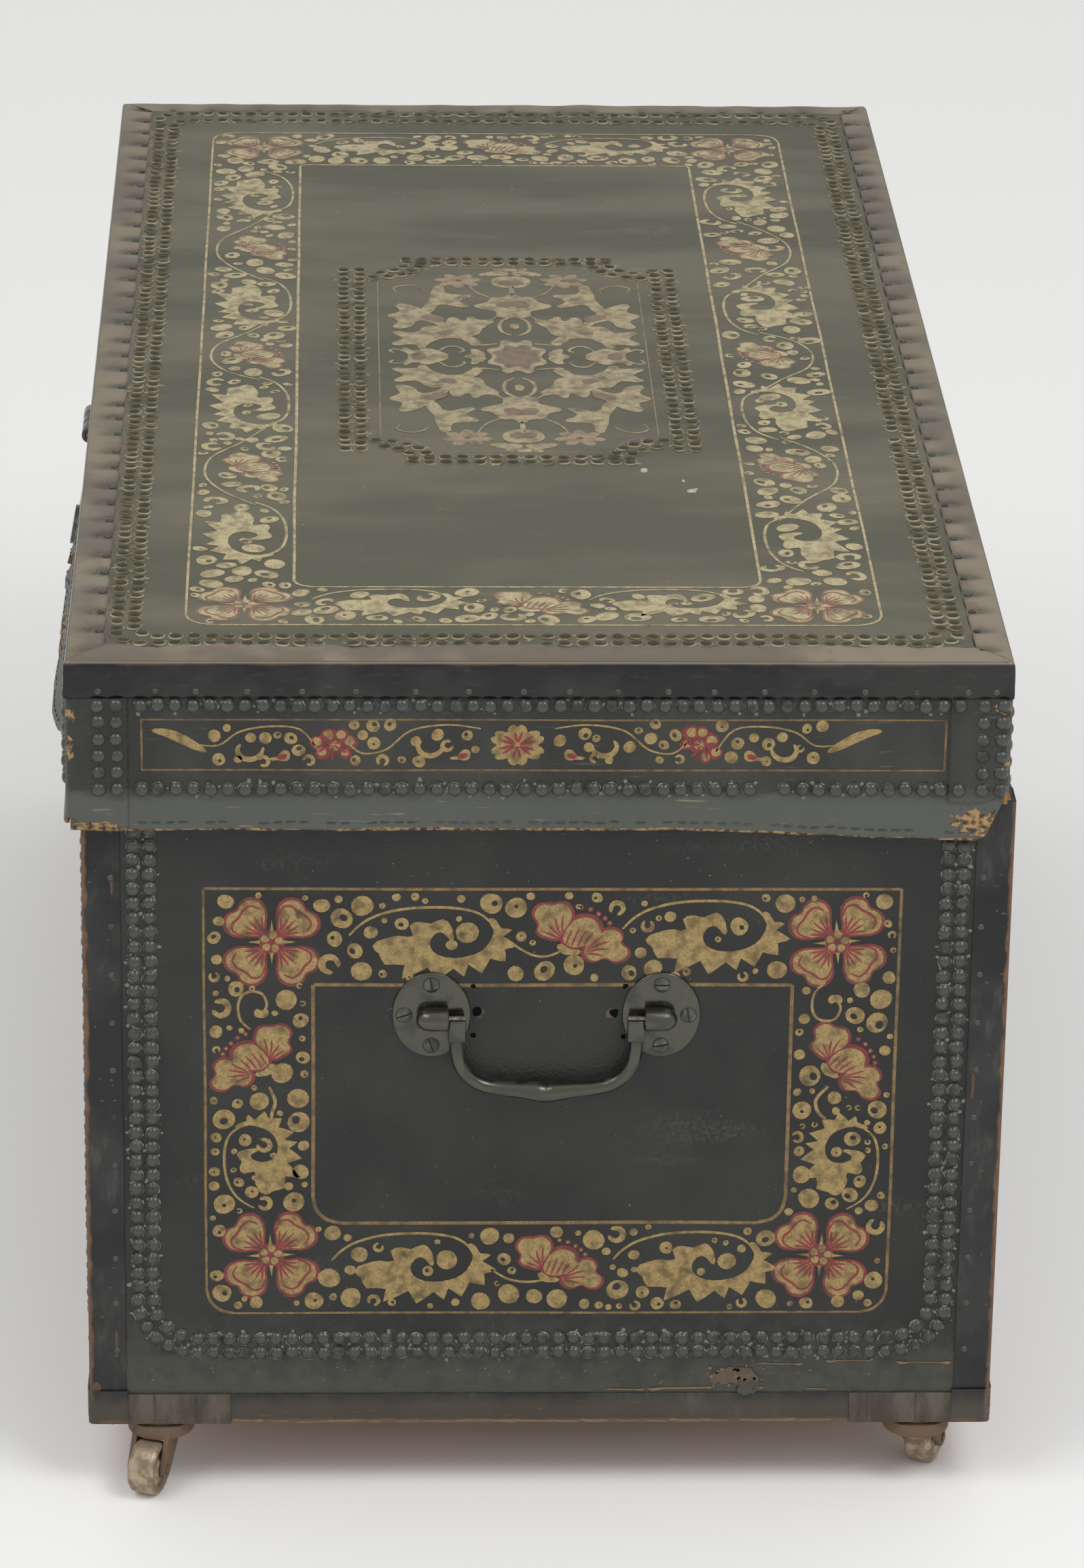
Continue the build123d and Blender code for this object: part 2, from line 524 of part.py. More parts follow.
def make_lock():
    """Lock plate on the front leather, lock case let into the front board, and its bolt."""
    plate_top = APRON_BOTTOM + LOCK_PLATE_TUCK
    plate_bottom = plate_top - LOCK_PLATE_HEIGHT
    half = LOCK_PLATE_WIDTH / 2
    plate = slab((-half, half), (LOCK_FACE - LOCK_PLATE, LOCK_FACE), (plate_bottom, plate_top))
    plate = chamfer(plate.edges().filter_by(Axis.Y), LOCK_PLATE_CANT)
    slot = slab((-SLOT_WIDTH / 2, SLOT_WIDTH / 2), (LOCK_FACE - LOCK_PLATE, LOCK_FACE), SLOT_Z)
    key_z = STAPLE_Z - KEYHOLE_DROP
    key_slot = slab(
        (-KEYHOLE_SLOT_WIDTH / 2, KEYHOLE_SLOT_WIDTH / 2),
        (LOCK_FACE - LOCK_PLATE, LOCK_FACE),
        (key_z - KEYHOLE_SLOT_LENGTH, key_z),
    )
    keyhole = rod(KEYHOLE_RADIUS, (0, LOCK_FACE - LOCK_PLATE, key_z), (0, LOCK_FACE, key_z))
    pins = []
    for x in (-half + LOCK_PIN_INSET, half - LOCK_PIN_INSET):
        z = plate_bottom + LOCK_PIN_INSET + LOCK_PLATE_CANT
        pins.append(facing((x, LOCK_FACE - LOCK_PLATE, z), (0, -1, 0)) * trim_pin())
    pieces["lock_plate"] = plate - pins - slot - keyhole - key_slot
    pieces["lock_plate_pins"] = pins

    case_x = (-LOCK_CASE_WIDTH / 2, LOCK_CASE_WIDTH / 2)
    case_top = plate_top - (LOCK_PLATE_HEIGHT - LOCK_CASE_HEIGHT) / 2
    case_z = (case_top - LOCK_CASE_HEIGHT, case_top)
    case_back = LOCK_FACE + LOCK_CASE_DEPTH
    block = slab(case_x, (LOCK_FACE, case_back), case_z)
    inside_x, inside_z = grown((case_x, case_z), -LOCK_CASE_WALL)
    cavity = slab(inside_x, (LOCK_FACE, case_back - LOCK_CASE_WALL), inside_z)
    for name in ("front_board", "front_leather"):
        pieces[name] -= block

    bolt_height = STAPLE_EYE_HEIGHT - 2 * BOLT_PLAY
    bolt_thickness = STAPLE_EYE_WIDTH - 2 * BOLT_PLAY
    tip_x = -STAPLE_THICKNESS / 2 - BOLT_CLEARANCE
    bolt_y = (EYE_Y - bolt_thickness / 2, EYE_Y + bolt_thickness / 2)
    bolt_z = (STAPLE_Z - bolt_height / 2, STAPLE_Z + bolt_height / 2)
    pieces["lock_bolt"] = slab((tip_x - BOLT_LENGTH, tip_x), bolt_y, bolt_z)
    case = block - cavity
    guide_y = (bolt_y[0], case_back - LOCK_CASE_WALL)
    slot_edge = SLOT_WIDTH / 2
    for x in ((tip_x - BOLT_LENGTH, -slot_edge), (slot_edge, BOLT_LENGTH)):
        for low, high in (
            (bolt_z[0] - BOLT_PLAY - GUIDE_THICKNESS, bolt_z[0] - BOLT_PLAY),
            (bolt_z[1] + BOLT_PLAY, bolt_z[1] + BOLT_PLAY + GUIDE_THICKNESS),
        ):
            case += slab(x, guide_y, (low, high))
    pieces["lock_case"] = case


# ---- Drop handles ----
HANDLE_Z = UNDERSIDE + HANDLE_HEIGHT
BAIL_X = HIDE_X + BAIL_STANDOFF
BOSS_Y = HANDLE_SPAN / 2 + BAIL_BLOCK_WIDTH / 2 + SIDE_CLEARANCE


def handle_boss():
    """A knuckle about the bail's pin, on the +Y side, with a nose that is round when seen from the end."""
    nose_y = BOSS_Y + BOSS_LENGTH
    bar = rod(BOSS_RADIUS, (BAIL_X, BOSS_Y, HANDLE_Z), (BAIL_X, nose_y + BOSS_RADIUS, HANDLE_Z))
    outline = Pos(BOSS_Y + BOSS_LENGTH / 2, HANDLE_Z) * Rectangle(BOSS_LENGTH, 2 * BOSS_RADIUS)
    outline += Pos(nose_y, HANDLE_Z) * Circle(BOSS_RADIUS)
    end_on = Plane(origin=(BAIL_X, 0, 0), x_dir=(0, 1, 0), z_dir=(1, 0, 0))
    return bar & extrude(end_on * outline, BOSS_RADIUS, both=True)


def handle_side(mirror_y):
    """One oval plate with its boss, and its three screws."""
    centre_y = HANDLE_PLATE_SPACING / 2
    oval = Plane(origin=(HIDE_X, centre_y, HANDLE_Z), x_dir=(0, 1, 0), z_dir=(1, 0, 0)) * Ellipse(
        HANDLE_PLATE_WIDTH / 2, HANDLE_PLATE_HEIGHT / 2
    )
    plate = extrude(oval, HANDLE_PLATE) + handle_boss()
    bore = [(BAIL_X, y, HANDLE_Z) for y in (BOSS_Y, BOSS_Y + BAIL_PIN_REACH + SIDE_CLEARANCE)]
    plate -= rod(BAIL_PIN_RADIUS + RUNNING_CLEARANCE, *bore)
    screws = []
    face_x = HIDE_X + HANDLE_PLATE
    spots = (
        (centre_y, HANDLE_Z + HANDLE_SCREW_REACH_Z, 50),
        (centre_y + HANDLE_SCREW_REACH_Y, HANDLE_Z, 20),
        (centre_y, HANDLE_Z - HANDLE_SCREW_REACH_Z, 110),
    )
    for y, z, slot_angle in spots:
        place = facing((face_x, y, z), (1, 0, 0))
        plate -= place * screw_blank(SCREW_HEAD_RADIUS)
        screws.append(place * screw(SCREW_HEAD_RADIUS, slot_angle))
    if mirror_y:
        plate = mirror(plate, about=Plane.XZ)
        screws = [mirror(item, about=Plane.XZ) for item in screws]
    return plate, screws


def make_bail():
    """A drop handle: square blocks on pins, many-flatted legs, bent corners and a swelling grip."""
    half = HANDLE_SPAN / 2
    bend = half - BAIL_CORNER_RADIUS
    low_z = HANDLE_Z - BAIL_DROP
    block_z = (HANDLE_Z - BAIL_BLOCK_HEIGHT, HANDLE_Z)
    block_x = (BAIL_X - BAIL_BLOCK_THICKNESS / 2, BAIL_X + BAIL_BLOCK_THICKNESS / 2)
    turn = 90 / BAIL_CORNER_BENDS
    reach = BAIL_CORNER_RADIUS / cos(radians(turn / 2))
    route = [(BAIL_X, half, block_z[0])]
    for index in range(BAIL_CORNER_BENDS):
        angle = radians((index + 0.5) * turn)
        corner_z = low_z + BAIL_CORNER_RADIUS - reach * sin(angle)
        route.append((BAIL_X, bend + reach * cos(angle), corner_z))
    route.append((BAIL_X, bend, low_z))
    leg_top = Plane(origin=route[0], x_dir=(1, 0, 0), z_dir=(0, 0, -1))
    section = leg_top * RegularPolygon(BAIL_LEG_RADIUS, BAIL_FLATS)
    arm = sweep(section, Polyline(*route), transition=Transition.RIGHT)
    grip = Plane(origin=(BAIL_X, 0, low_z), x_dir=(1, 0, 0), z_dir=(0, 1, 0)).location
    arm += grip * tapered(BAIL_FLATS, (0, BAIL_GRIP_RADIUS), (bend, BAIL_LEG_RADIUS))
    arm += slab(block_x, (half - BAIL_BLOCK_WIDTH / 2, half + BAIL_BLOCK_WIDTH / 2), block_z)
    pin = rod(
        BAIL_PIN_RADIUS,
        (BAIL_X, half - BAIL_BLOCK_WIDTH / 2, HANDLE_Z),
        (BAIL_X, BOSS_Y + BAIL_PIN_REACH, HANDLE_Z),
    )
    arm -= pin
    return arm + mirror(arm, about=Plane.XZ), [pin, mirror(pin, about=Plane.XZ)]


def make_handles():
    """Both drop handles, the far one a mirror image of the near one."""
    plates, screws = [], []
    for mirror_y in (False, True):
        plate, plate_screws = handle_side(mirror_y)
        plates.append(plate)
        screws += plate_screws
    bail, pins = make_bail()
    pieces["handle_plates"] = plates + mirrored(plates)
    pieces["handle_screws"] = screws + mirrored(screws)
    for name, shapes in (("bail", [bail]), ("bail_pins", pins)):
        pieces["near_" + name] = shapes
        pieces["far_" + name] = mirrored(shapes)


# ---- Casters ----
PLATE_BOTTOM = UNDERSIDE - CASTER_PLATE
CROWN_TOP = PLATE_BOTTOM - SWIVEL_GAP
CROWN_BOTTOM = CROWN_TOP - CROWN_HEIGHT
KINGPIN_LOW = CROWN_BOTTOM - SWIVEL_GAP - KINGPIN_HEAD_HEIGHT


def caster_wheel():
    """A plain broad roller on the axle line."""
    ends = [(CASTER_TRAIL, y, WHEEL_RADIUS) for y in (-WHEEL_WIDTH / 2, WHEEL_WIDTH / 2)]
    return rod(WHEEL_RADIUS, *ends) - rod(AXLE_RADIUS + RUNNING_CLEARANCE, *ends)


def caster_fork():
    """A round crown over two legs that sweep forward and down to the axle."""
    fork = rod(CROWN_RADIUS, (0, 0, CROWN_BOTTOM), (0, 0, CROWN_TOP))
    fork -= rod(KINGPIN_RADIUS + RUNNING_CLEARANCE, (0, 0, CROWN_BOTTOM), (0, 0, CROWN_TOP))
    leg_inside = WHEEL_WIDTH / 2 + SIDE_CLEARANCE
    root = Pos(FORK_LEG_TOP / 2, CROWN_BOTTOM) * Rectangle(FORK_LEG_TOP, CROWN_HEIGHT)
    toe = Pos(CASTER_TRAIL, WHEEL_RADIUS) * Circle(FORK_TOE_RADIUS)
    outline = make_hull(root.edges() + toe.edges())
    for side_y in (leg_inside + FORK_LEG, -leg_inside):
        fork += extrude(Plane(origin=(0, side_y, 0), x_dir=(1, 0, 0), z_dir=(0, -1, 0)) * outline, FORK_LEG)
    return fork - caster_axle()


def caster_axle():
    """The wheel's axle, standing a little proud of both legs."""
    reach = WHEEL_WIDTH / 2 + SIDE_CLEARANCE + FORK_LEG + AXLE_PROUD
    return rod(AXLE_RADIUS, (CASTER_TRAIL, -reach, WHEEL_RADIUS), (CASTER_TRAIL, reach, WHEEL_RADIUS))


def caster_mounting():
    """The fixed plate, its screws and the kingpin that the fork turns on."""
    plate = rod(CASTER_PLATE_RADIUS, (0, 0, PLATE_BOTTOM), (0, 0, UNDERSIDE))
    kingpin = rod(KINGPIN_RADIUS, (0, 0, KINGPIN_LOW), (0, 0, UNDERSIDE))
    head_top = KINGPIN_LOW + KINGPIN_HEAD_HEIGHT
    kingpin += tapered(FASTENER_SIDES, (KINGPIN_LOW, KINGPIN_HEAD_RADIUS), (head_top, KINGPIN_HEAD_RADIUS))
    plate -= kingpin
    screws = []
    for angle in (0, 120, 240):
        spot = (CASTER_SCREW_CIRCLE * cos(radians(angle)), CASTER_SCREW_CIRCLE * sin(radians(angle)))
        place = facing((*spot, PLATE_BOTTOM), (0, 0, -1))
        plate -= place * screw_blank(SMALL_SCREW_HEAD_RADIUS)
        screws.append(place * screw(SMALL_SCREW_HEAD_RADIUS, angle))
    return plate, screws, kingpin


def caster_places():
    """Each caster's name, swivel centre and the direction in which its wheel trails."""
    x = CASE_LENGTH / 2 - CASTER_INSET_END
    y = CASE_WIDTH / 2 - CASTER_INSET_SIDE
    return (
        ("near_front", x, -y, NEAR_FRONT_SWING),
        ("near_back", x, y, NEAR_BACK_SWING),
        ("far_front", -x, -y, 180 - NEAR_FRONT_SWING),
        ("far_back", -x, y, 180 - NEAR_BACK_SWING),
    )


def make_casters():
    """Four swivelling casters."""
    plate, screws, kingpin = caster_mounting()
    fork, axle = caster_fork(), caster_axle()
    wheel = caster_wheel()
    pieces["caster_plates"], pieces["caster_screws"], pieces["caster_kingpins"] = [], [], []
    for name, x, y, swing in caster_places():
        place = Pos(x, y, 0)
        turned = place * Rot(0, 0, swing)
        pieces["caster_plates"].append(place * plate)
        pieces["caster_screws"] += [place * item for item in screws]
        pieces["caster_kingpins"].append(place * kingpin)
        pieces[f"{name}_fork"] = turned * fork
        pieces[f"{name}_axle"] = turned * axle
        pieces[f"{name}_wheel"] = turned * wheel


make_case()
make_case_bindings()
make_lid()
make_lid_bindings()
make_hinges()
make_hasp_leaf()
make_hasp()
make_lock()
make_handles()
make_casters()

# The origin is on the floor below the middle of everything, so the whole trunk moves across by
# half the difference between what stands out at the front and at the back.
reach = Compound([solid for shapes in pieces.values() for solid in solids_of(shapes)]).bounding_box()
SHIFT_Y = -(reach.min.Y + reach.max.Y) / 2

for name, shapes in pieces.items():
    solids = [Pos(0, SHIFT_Y, 0) * solid for solid in solids_of(shapes)]
    export_step(Compound(label=name, children=solids), f"parts/{name}.step")

print("shift_y", round(SHIFT_Y, 3), "size", reach.size)
print("lid_hinge", 0, round(HINGE_Y + SHIFT_Y, 3), HINGE_Z)
print("hasp_hinge", 0, round(HASP_Y + SHIFT_Y, 3), HASP_Z)
print("bail", round(BAIL_X, 3), round(SHIFT_Y, 3), HANDLE_Z)
print("lid_top", TOP, "lid middle y", round((LID_FRONT + LID_BACK) / 2 + SHIFT_Y, 3))
for name, x, y, swing in caster_places():
    print("caster", name, x, round(y + SHIFT_Y, 3), swing)
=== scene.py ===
# %% [markdown]
# # Dressing an old leather-covered trunk
# The boards, hinges, lock and casters of this trunk arrive as a finished engineering model, already in
# place and in metres. This lesson adds what an engineer leaves out: grained and painted leather, worn edge
# bindings, brass nails, a painted border of flowers, and metal that has been handled for a long time.
# X runs along the trunk, the lock side faces -Y and Z is up. The "near" end is the one at +X.

# %% Load the engineering model
import json
import math
import random

import bmesh
import bpy
from mathutils import Matrix, Vector, noise

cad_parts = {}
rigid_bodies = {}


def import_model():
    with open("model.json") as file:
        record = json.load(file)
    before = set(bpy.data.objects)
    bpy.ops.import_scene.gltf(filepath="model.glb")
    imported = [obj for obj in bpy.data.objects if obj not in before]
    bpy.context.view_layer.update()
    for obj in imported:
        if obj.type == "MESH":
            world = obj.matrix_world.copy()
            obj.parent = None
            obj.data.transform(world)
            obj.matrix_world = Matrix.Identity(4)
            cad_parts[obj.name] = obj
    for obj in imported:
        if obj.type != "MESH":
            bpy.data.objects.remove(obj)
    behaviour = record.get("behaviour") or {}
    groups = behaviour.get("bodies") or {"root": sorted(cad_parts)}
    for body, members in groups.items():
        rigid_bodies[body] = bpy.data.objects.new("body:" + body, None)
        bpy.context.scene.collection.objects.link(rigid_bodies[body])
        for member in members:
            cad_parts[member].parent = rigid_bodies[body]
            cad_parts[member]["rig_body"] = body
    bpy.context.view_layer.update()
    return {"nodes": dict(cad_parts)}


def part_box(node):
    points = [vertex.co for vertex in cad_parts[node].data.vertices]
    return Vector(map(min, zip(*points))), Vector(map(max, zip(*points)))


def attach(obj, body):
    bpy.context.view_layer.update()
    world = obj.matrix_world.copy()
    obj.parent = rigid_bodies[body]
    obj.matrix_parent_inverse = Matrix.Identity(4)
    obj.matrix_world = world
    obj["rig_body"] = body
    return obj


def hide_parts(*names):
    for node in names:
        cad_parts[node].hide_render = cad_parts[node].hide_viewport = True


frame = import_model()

MM = 0.001
dice = random.Random(7)
nodes = frame["nodes"]

# %% [markdown]
# ## The camera
# A picture is taken from somewhere, so the camera comes first: every later choice of size and colour is
# judged through it. It looks down on the near end from about three metres, through a long lens, which keeps
# the upright edges nearly parallel. Its turn is built from three plain turns: round the upright axis, up
# from straight down, and a small roll about its own line of sight.

# %% Camera
CAMERA_PLACE = (3.3265, -0.0987, 1.5954)
CAMERA_HEADING, CAMERA_TILT, CAMERA_ROLL = 87.933, 67.234, 0.845
CAMERA_LENS, SENSOR_WIDTH = 145.61, 36.0

lens = bpy.data.cameras.new("studio_camera")
lens.lens = CAMERA_LENS
lens.sensor_width = SENSOR_WIDTH
camera = bpy.data.objects.new("studio_camera", lens)
bpy.context.scene.collection.objects.link(camera)
turn = Matrix.Rotation(math.radians(CAMERA_HEADING), 4, "Z")
turn = turn @ Matrix.Rotation(math.radians(CAMERA_TILT), 4, "X")
turn = turn @ Matrix.Rotation(math.radians(CAMERA_ROLL), 4, "Z")
camera.matrix_world = Matrix.Translation(CAMERA_PLACE) @ turn
bpy.context.scene.camera = camera
print("camera at", CAMERA_PLACE, "with a lens of", round(lens.lens), "mm")

# %% [markdown]
# ## Arithmetic for finishes
# A finish is a small network of nodes, and most of that network is plain arithmetic: a mask times another
# mask, one minus a mask. Wiring such sums by hand is hard to read, so `Number` wraps a socket and lets
# Python's own signs add the Math nodes. `Finish` has one method, `node`, for every other kind of node:
# first its settings, then what goes into its sockets.

# %% Number: a value that varies over a surface
class Number:
    """One output of a finish's network, with the signs of arithmetic."""

    def __init__(self, finish, socket):
        self.finish, self.socket = finish, socket

    def worked(self, operation, first, second):
        return self.finish.node("Math", {"operation": operation}, {0: first, 1: second})

    def __add__(self, other):
        return self.worked("ADD", self, other)

    def __sub__(self, other):
        return self.worked("SUBTRACT", self, other)

    def __rsub__(self, other):
        return self.worked("SUBTRACT", other, self)

    def __mul__(self, other):
        return self.worked("MULTIPLY", self, other)

    __radd__, __rmul__ = __add__, __mul__


# %% Finish: one material under construction
class Finish:
    """Builds one material. Places on the surface are read in metres from the object's own axes."""

    def __init__(self, name):
        self.material = bpy.data.materials.new(name)
        self.material.use_nodes = True
        self.tree = self.material.node_tree
        self.tree.nodes.clear()
        self.place = self.node("TexCoord", output="Object")

    def node(self, kind, settings=None, inputs=None, output=0):
        made = self.tree.nodes.new("ShaderNode" + kind)
        for key, value in (settings or {}).items():
            setattr(made, key, value)
        for key, value in (inputs or {}).items():
            if isinstance(value, Number):
                self.tree.links.new(value.socket, made.inputs[key])
            else:
                made.inputs[key].default_value = value
        return Number(self, made.outputs[output])

    def axes(self):
        split = self.node("SeparateXYZ", None, {0: self.place})
        return [Number(self, split.socket.node.outputs[index]) for index in range(3)]

    def cloud(self, size, detail=3.0, stretch=(1, 1, 1), shift=0.0):
        """Soft random patches about `size` millimetres across, as a number around one half."""
        scale = [1 / (size * MM * factor) for factor in stretch]
        place = self.node("Mapping", None, {"Vector": self.place, "Scale": scale, "Location": [shift] * 3})
        return self.node("TexNoise", None, {"Vector": place, "Scale": 1.0, "Detail": detail})

    def cells(self, size):
        """Pebbles about `size` millimetres across."""
        return self.node("TexVoronoi", {"feature": "F1"}, {"Vector": self.place, "Scale": 1 / (size * MM)})

    def ramp(self, value, low, high, smooth=True):
        """Nought below `low`, one above `high`, and a soft rise between."""
        kind = "SMOOTHSTEP" if smooth else "LINEAR"
        return self.node("MapRange", {"interpolation_type": kind}, {"Value": value, 1: low, 2: high})

    def mix(self, mask, first, second):
        inputs = {"Factor": mask, 6: first, 7: second}
        return self.node("Mix", {"data_type": "RGBA"}, inputs, output=2)

    def bump(self, height, depth, under=None):
        """A raised grain `depth` millimetres high."""
        inputs = {"Height": height, "Strength": 1.0, "Distance": depth * MM}
        if under is not None:
            inputs["Normal"] = under
        return self.node("Bump", None, inputs)

    def done(self, **sockets):
        surface = self.node("BsdfPrincipled", None, {k.replace("_", " "): v for k, v in sockets.items()})
        ending = self.tree.nodes.new("ShaderNodeOutputMaterial")
        self.tree.links.new(surface.socket, ending.inputs["Surface"])
        return self.material


def swatch(red, green, blue):
    """A colour as read from a paint swatch, each part from 0 to 255, turned into linear light."""
    parts = []
    for part in (red, green, blue):
        level = part / 255
        parts.append(level / 12.92 if level <= 0.04045 else ((level + 0.055) / 1.055) ** 2.4)
    return (*parts, 1.0)


# %% [markdown]
# ## Leather
# Old trunk leather is cowhide, dyed and oiled nearly black. Close to, it has a pebbled grain a millimetre
# or two across. From further off it is mottled, scuffed paler where hands and other luggage rubbed it,
# and flecked with specks of pale dust. Each of those is one patch of noise at its own size, so one
# function can make every leather here: the dark ends, the greyer lid and the brown rubbed bindings.

# %% Leather finish
def leather(
    name, deep, worn, scuff, grain=1.7, grain_depth=0.16, gloss=0.5, streak=(1, 1, 1),
    dust=0.5, shine=0.5, low=0.0,
):
    """`low` is how much floor dust lies on the lowest part, `shine` how strongly the surface reflects."""
    finish = Finish(name)
    blotch = finish.ramp(finish.cloud(70, 5, streak), 0.38, 0.66)
    mottle = finish.ramp(finish.cloud(9, 4, streak, 3.1), 0.35, 0.7)
    colour = finish.mix(blotch * 0.75 + mottle * 0.25, deep, worn)
    rubs = finish.ramp(finish.cloud(38, 6, (1, 2.5, 0.6), 7.7), 0.6, 0.78)
    rubs = rubs * finish.ramp(finish.cloud(2.2, 3, streak, 1.3), 0.4, 0.62)
    colour = finish.mix(rubs * 0.45, colour, scuff)
    specks = finish.ramp(finish.cloud(1.5, 1, (1, 1, 1), 9.0), 0.78, 0.86)
    colour = finish.mix(specks * dust, colour, swatch(178, 176, 165))
    if low:
        near_floor = 1 - finish.ramp(finish.axes()[2] + (mottle - 0.5) * 0.02, 0.05, 0.1)
        colour = finish.mix(near_floor * low, colour, swatch(104, 104, 90))
    pebbles = finish.cells(grain)
    creases = finish.cloud(14, 5, streak, 5.2)
    normal = finish.bump(pebbles, grain_depth)
    normal = finish.bump(creases, 0.5, normal)
    rough = gloss + mottle * 0.12 - rubs * 0.05
    return finish.done(Base_Color=colour, Roughness=rough, Normal=normal, Specular_IOR_Level=shine)


body_leather = leather(
    "painted_black_leather", swatch(27, 29, 27), swatch(44, 46, 42), swatch(76, 76, 67),
    grain_depth=0.26, gloss=0.46, shine=0.42, low=0.3,
)
band_leather = leather("lid_band_leather", swatch(44, 48, 45), swatch(66, 70, 66), swatch(92, 92, 84))
# The lid's top is written much lighter than the ends: partly dust, partly painted light, the brighter light
# that falls on a top.
lid_leather_dust_and_painted_light = leather(
    "lid_top_leather", swatch(71, 70, 53), swatch(100, 97, 78), swatch(128, 122, 102),
    grain=1.2, grain_depth=0.1, gloss=0.52, streak=(1, 3, 1), dust=0.8,
)
raw_leather = leather(
    "torn_raw_leather", swatch(96, 66, 36), swatch(168, 128, 78), swatch(190, 160, 110),
    grain=0.9, grain_depth=0.3, gloss=0.8, dust=0.1,
)
print("leathers made")

# %% [markdown]
# ## Edge bindings
# The edges are wrapped in strips of thin hard leather. On the flat of the lid they have faded to a dull
# brown and are dusty, down the sides they are still black and polished, and the very edge is rubbed through
# to a rusty brown. Where the strip lies decides that, so the finish reads the height and the
# distance from the trunk's corners, and a little noise keeps the borders ragged.

# %% Binding finish
def binding(name, rubbed_edges):
    """`rubbed_edges` works out, from the finish and its axes, how near a point is to a worn edge."""
    finish = Finish(name)
    ragged = finish.cloud(9, 6, (1, 1, 1), 2.0)
    patch = finish.ramp(finish.cloud(60, 5), 0.42, 0.62)
    black = finish.mix(patch, swatch(20, 21, 22), swatch(44, 45, 44))
    brown = finish.mix(finish.cloud(5, 4), swatch(80, 60, 46), swatch(140, 100, 66))
    edge = finish.ramp(rubbed_edges(finish, finish.axes()) + (ragged - 0.5) * 0.9, 0.45, 0.75)
    colour = finish.mix(edge * 0.8, black, brown)
    dusty = finish.ramp(finish.cloud(5.0, 6, (1, 1, 3), 4.0), 0.5, 0.8) * patch
    colour = finish.mix(dusty * 0.28, colour, swatch(112, 106, 98))
    near_floor = 1 - finish.ramp(finish.axes()[2] + (ragged - 0.5) * 0.01, low + 0.008, low + 0.02)
    colour = finish.mix(near_floor * 0.4, colour, swatch(96, 84, 70))
    normal = finish.bump(finish.cloud(11, 4), 0.6)
    normal = finish.bump(finish.cloud(1.4, 2), 0.06, normal)
    rough = 0.34 + patch * 0.2 + edge * 0.22
    return finish.done(Base_Color=colour, Roughness=rough, Normal=normal, Specular_IOR_Level=0.42)


def near_corner(finish, axes):
    """Rises to one at the case's upright corners and along its bottom edge."""
    corner = 0.8
    for offset, reach in ((axes[0], case[1].x), (axes[1] - case_middle_y, case_half_width)):
        distance = finish.node("Math", {"operation": "ABSOLUTE"}, {0: offset})
        corner = finish.ramp(distance, reach - 0.006, reach) * corner
    bottom = 1 - finish.ramp(axes[2], low + 0.0012, low + 0.0045)
    return corner + bottom * 0.85


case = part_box("corner_bindings")
case_half_width = (case[1].y - case[0].y) / 2
case_middle_y = (case[1].y + case[0].y) / 2
low = case[0].z
case_binding = binding("case_binding_leather", near_corner)
print("bindings made; case is", round(2000 * case_half_width), "mm wide over them")

# %% [markdown]
# ## Metals
# The nails on the lid are brass that has gone olive brown. Those on the sides were blacked over with the
# leather, and dust has settled round their feet. The handle is dark bronze, polished where hands hold it.
# The casters are rusty iron with brass rollers. One function makes them all from a clean colour, a dull
# colour and how far the dullness has spread.

# %% Metal finish
def metal(name, clean, dull, spread, patch, rough, metallic=1.0, pits=0.08, dust=None):
    finish = Finish(name)
    stain = finish.ramp(finish.cloud(patch, 5), 0.62 - spread * 0.5, 0.8 - spread * 0.4)
    colour = finish.mix(stain, clean, dull)
    fine = finish.cloud(patch * 0.2, 4, (1, 1, 1), 4.4)
    if dust is not None:
        colour = finish.mix(finish.ramp(fine, 0.5, 0.72) * 0.6, colour, dust)
    normal = finish.bump(fine, pits)
    sheen = metallic * (1 - stain * 0.6)
    return finish.done(Base_Color=colour, Roughness=rough + stain * 0.3, Metallic=sheen, Normal=normal)


lid_nail = metal("olive_brass_nail", swatch(92, 86, 60), swatch(58, 55, 38), 0.6, 9, 0.26)
lid_foot = metal("pale_brass_rim", swatch(156, 150, 122), swatch(100, 95, 70), 0.5, 14, 0.5, 0.3, 0.05)
side_nail = metal("blacked_nail", swatch(72, 75, 70), swatch(46, 48, 46), 0.25, 9, 0.24, 0.35, 0.03)
nail_foot = metal(
    "dusty_nail_foot", swatch(84, 86, 79), swatch(50, 52, 47), 0.5, 14, 0.6, 0.1, 0.1,
    dust=swatch(186, 188, 174),
)
bronze = metal("dark_bronze", swatch(88, 87, 79), swatch(66, 67, 62), 0.3, 14, 0.2, 0.9)
screw_steel = metal("blackened_screw", swatch(104, 103, 94), swatch(70, 70, 64), 0.5, 5, 0.25)
steel = metal("worn_steel", swatch(134, 132, 122), swatch(84, 82, 74), 0.4, 5, 0.35)
hinge_brass = metal("tarnished_brass", swatch(160, 132, 78), swatch(92, 74, 46), 0.5, 12, 0.36)
iron = metal("rusty_iron", swatch(106, 93, 82), swatch(112, 90, 72), 0.7, 7, 0.5, 0.5, 0.25)
roller_brass = metal("worn_roller_brass", swatch(178, 160, 136), swatch(128, 111, 92), 0.5, 6, 0.38, 0.6, 0.2)
print("metals made")

# %% [markdown]
# ## Camphorwood
# The box under the leather is camphorwood, a reddish brown timber that keeps moths away. Its grain is long
# streaks: noise that is stretched along the boards, with a finer set of dark pores laid over.

# %% Wood finish
def wood(name):
    finish = Finish(name)
    figure = finish.cloud(18, 5, (14, 2, 1))
    pores = finish.ramp(finish.cloud(1.6, 3, (20, 3, 1), 2.0), 0.5, 0.7)
    colour = finish.mix(figure, swatch(112, 74, 46), swatch(172, 126, 84))
    colour = finish.mix(pores * 0.5, colour, swatch(82, 52, 32))
    return finish.done(Base_Color=colour, Roughness=0.6 + pores * 0.1, Normal=finish.bump(pores, 0.1))


camphorwood = wood("camphorwood")

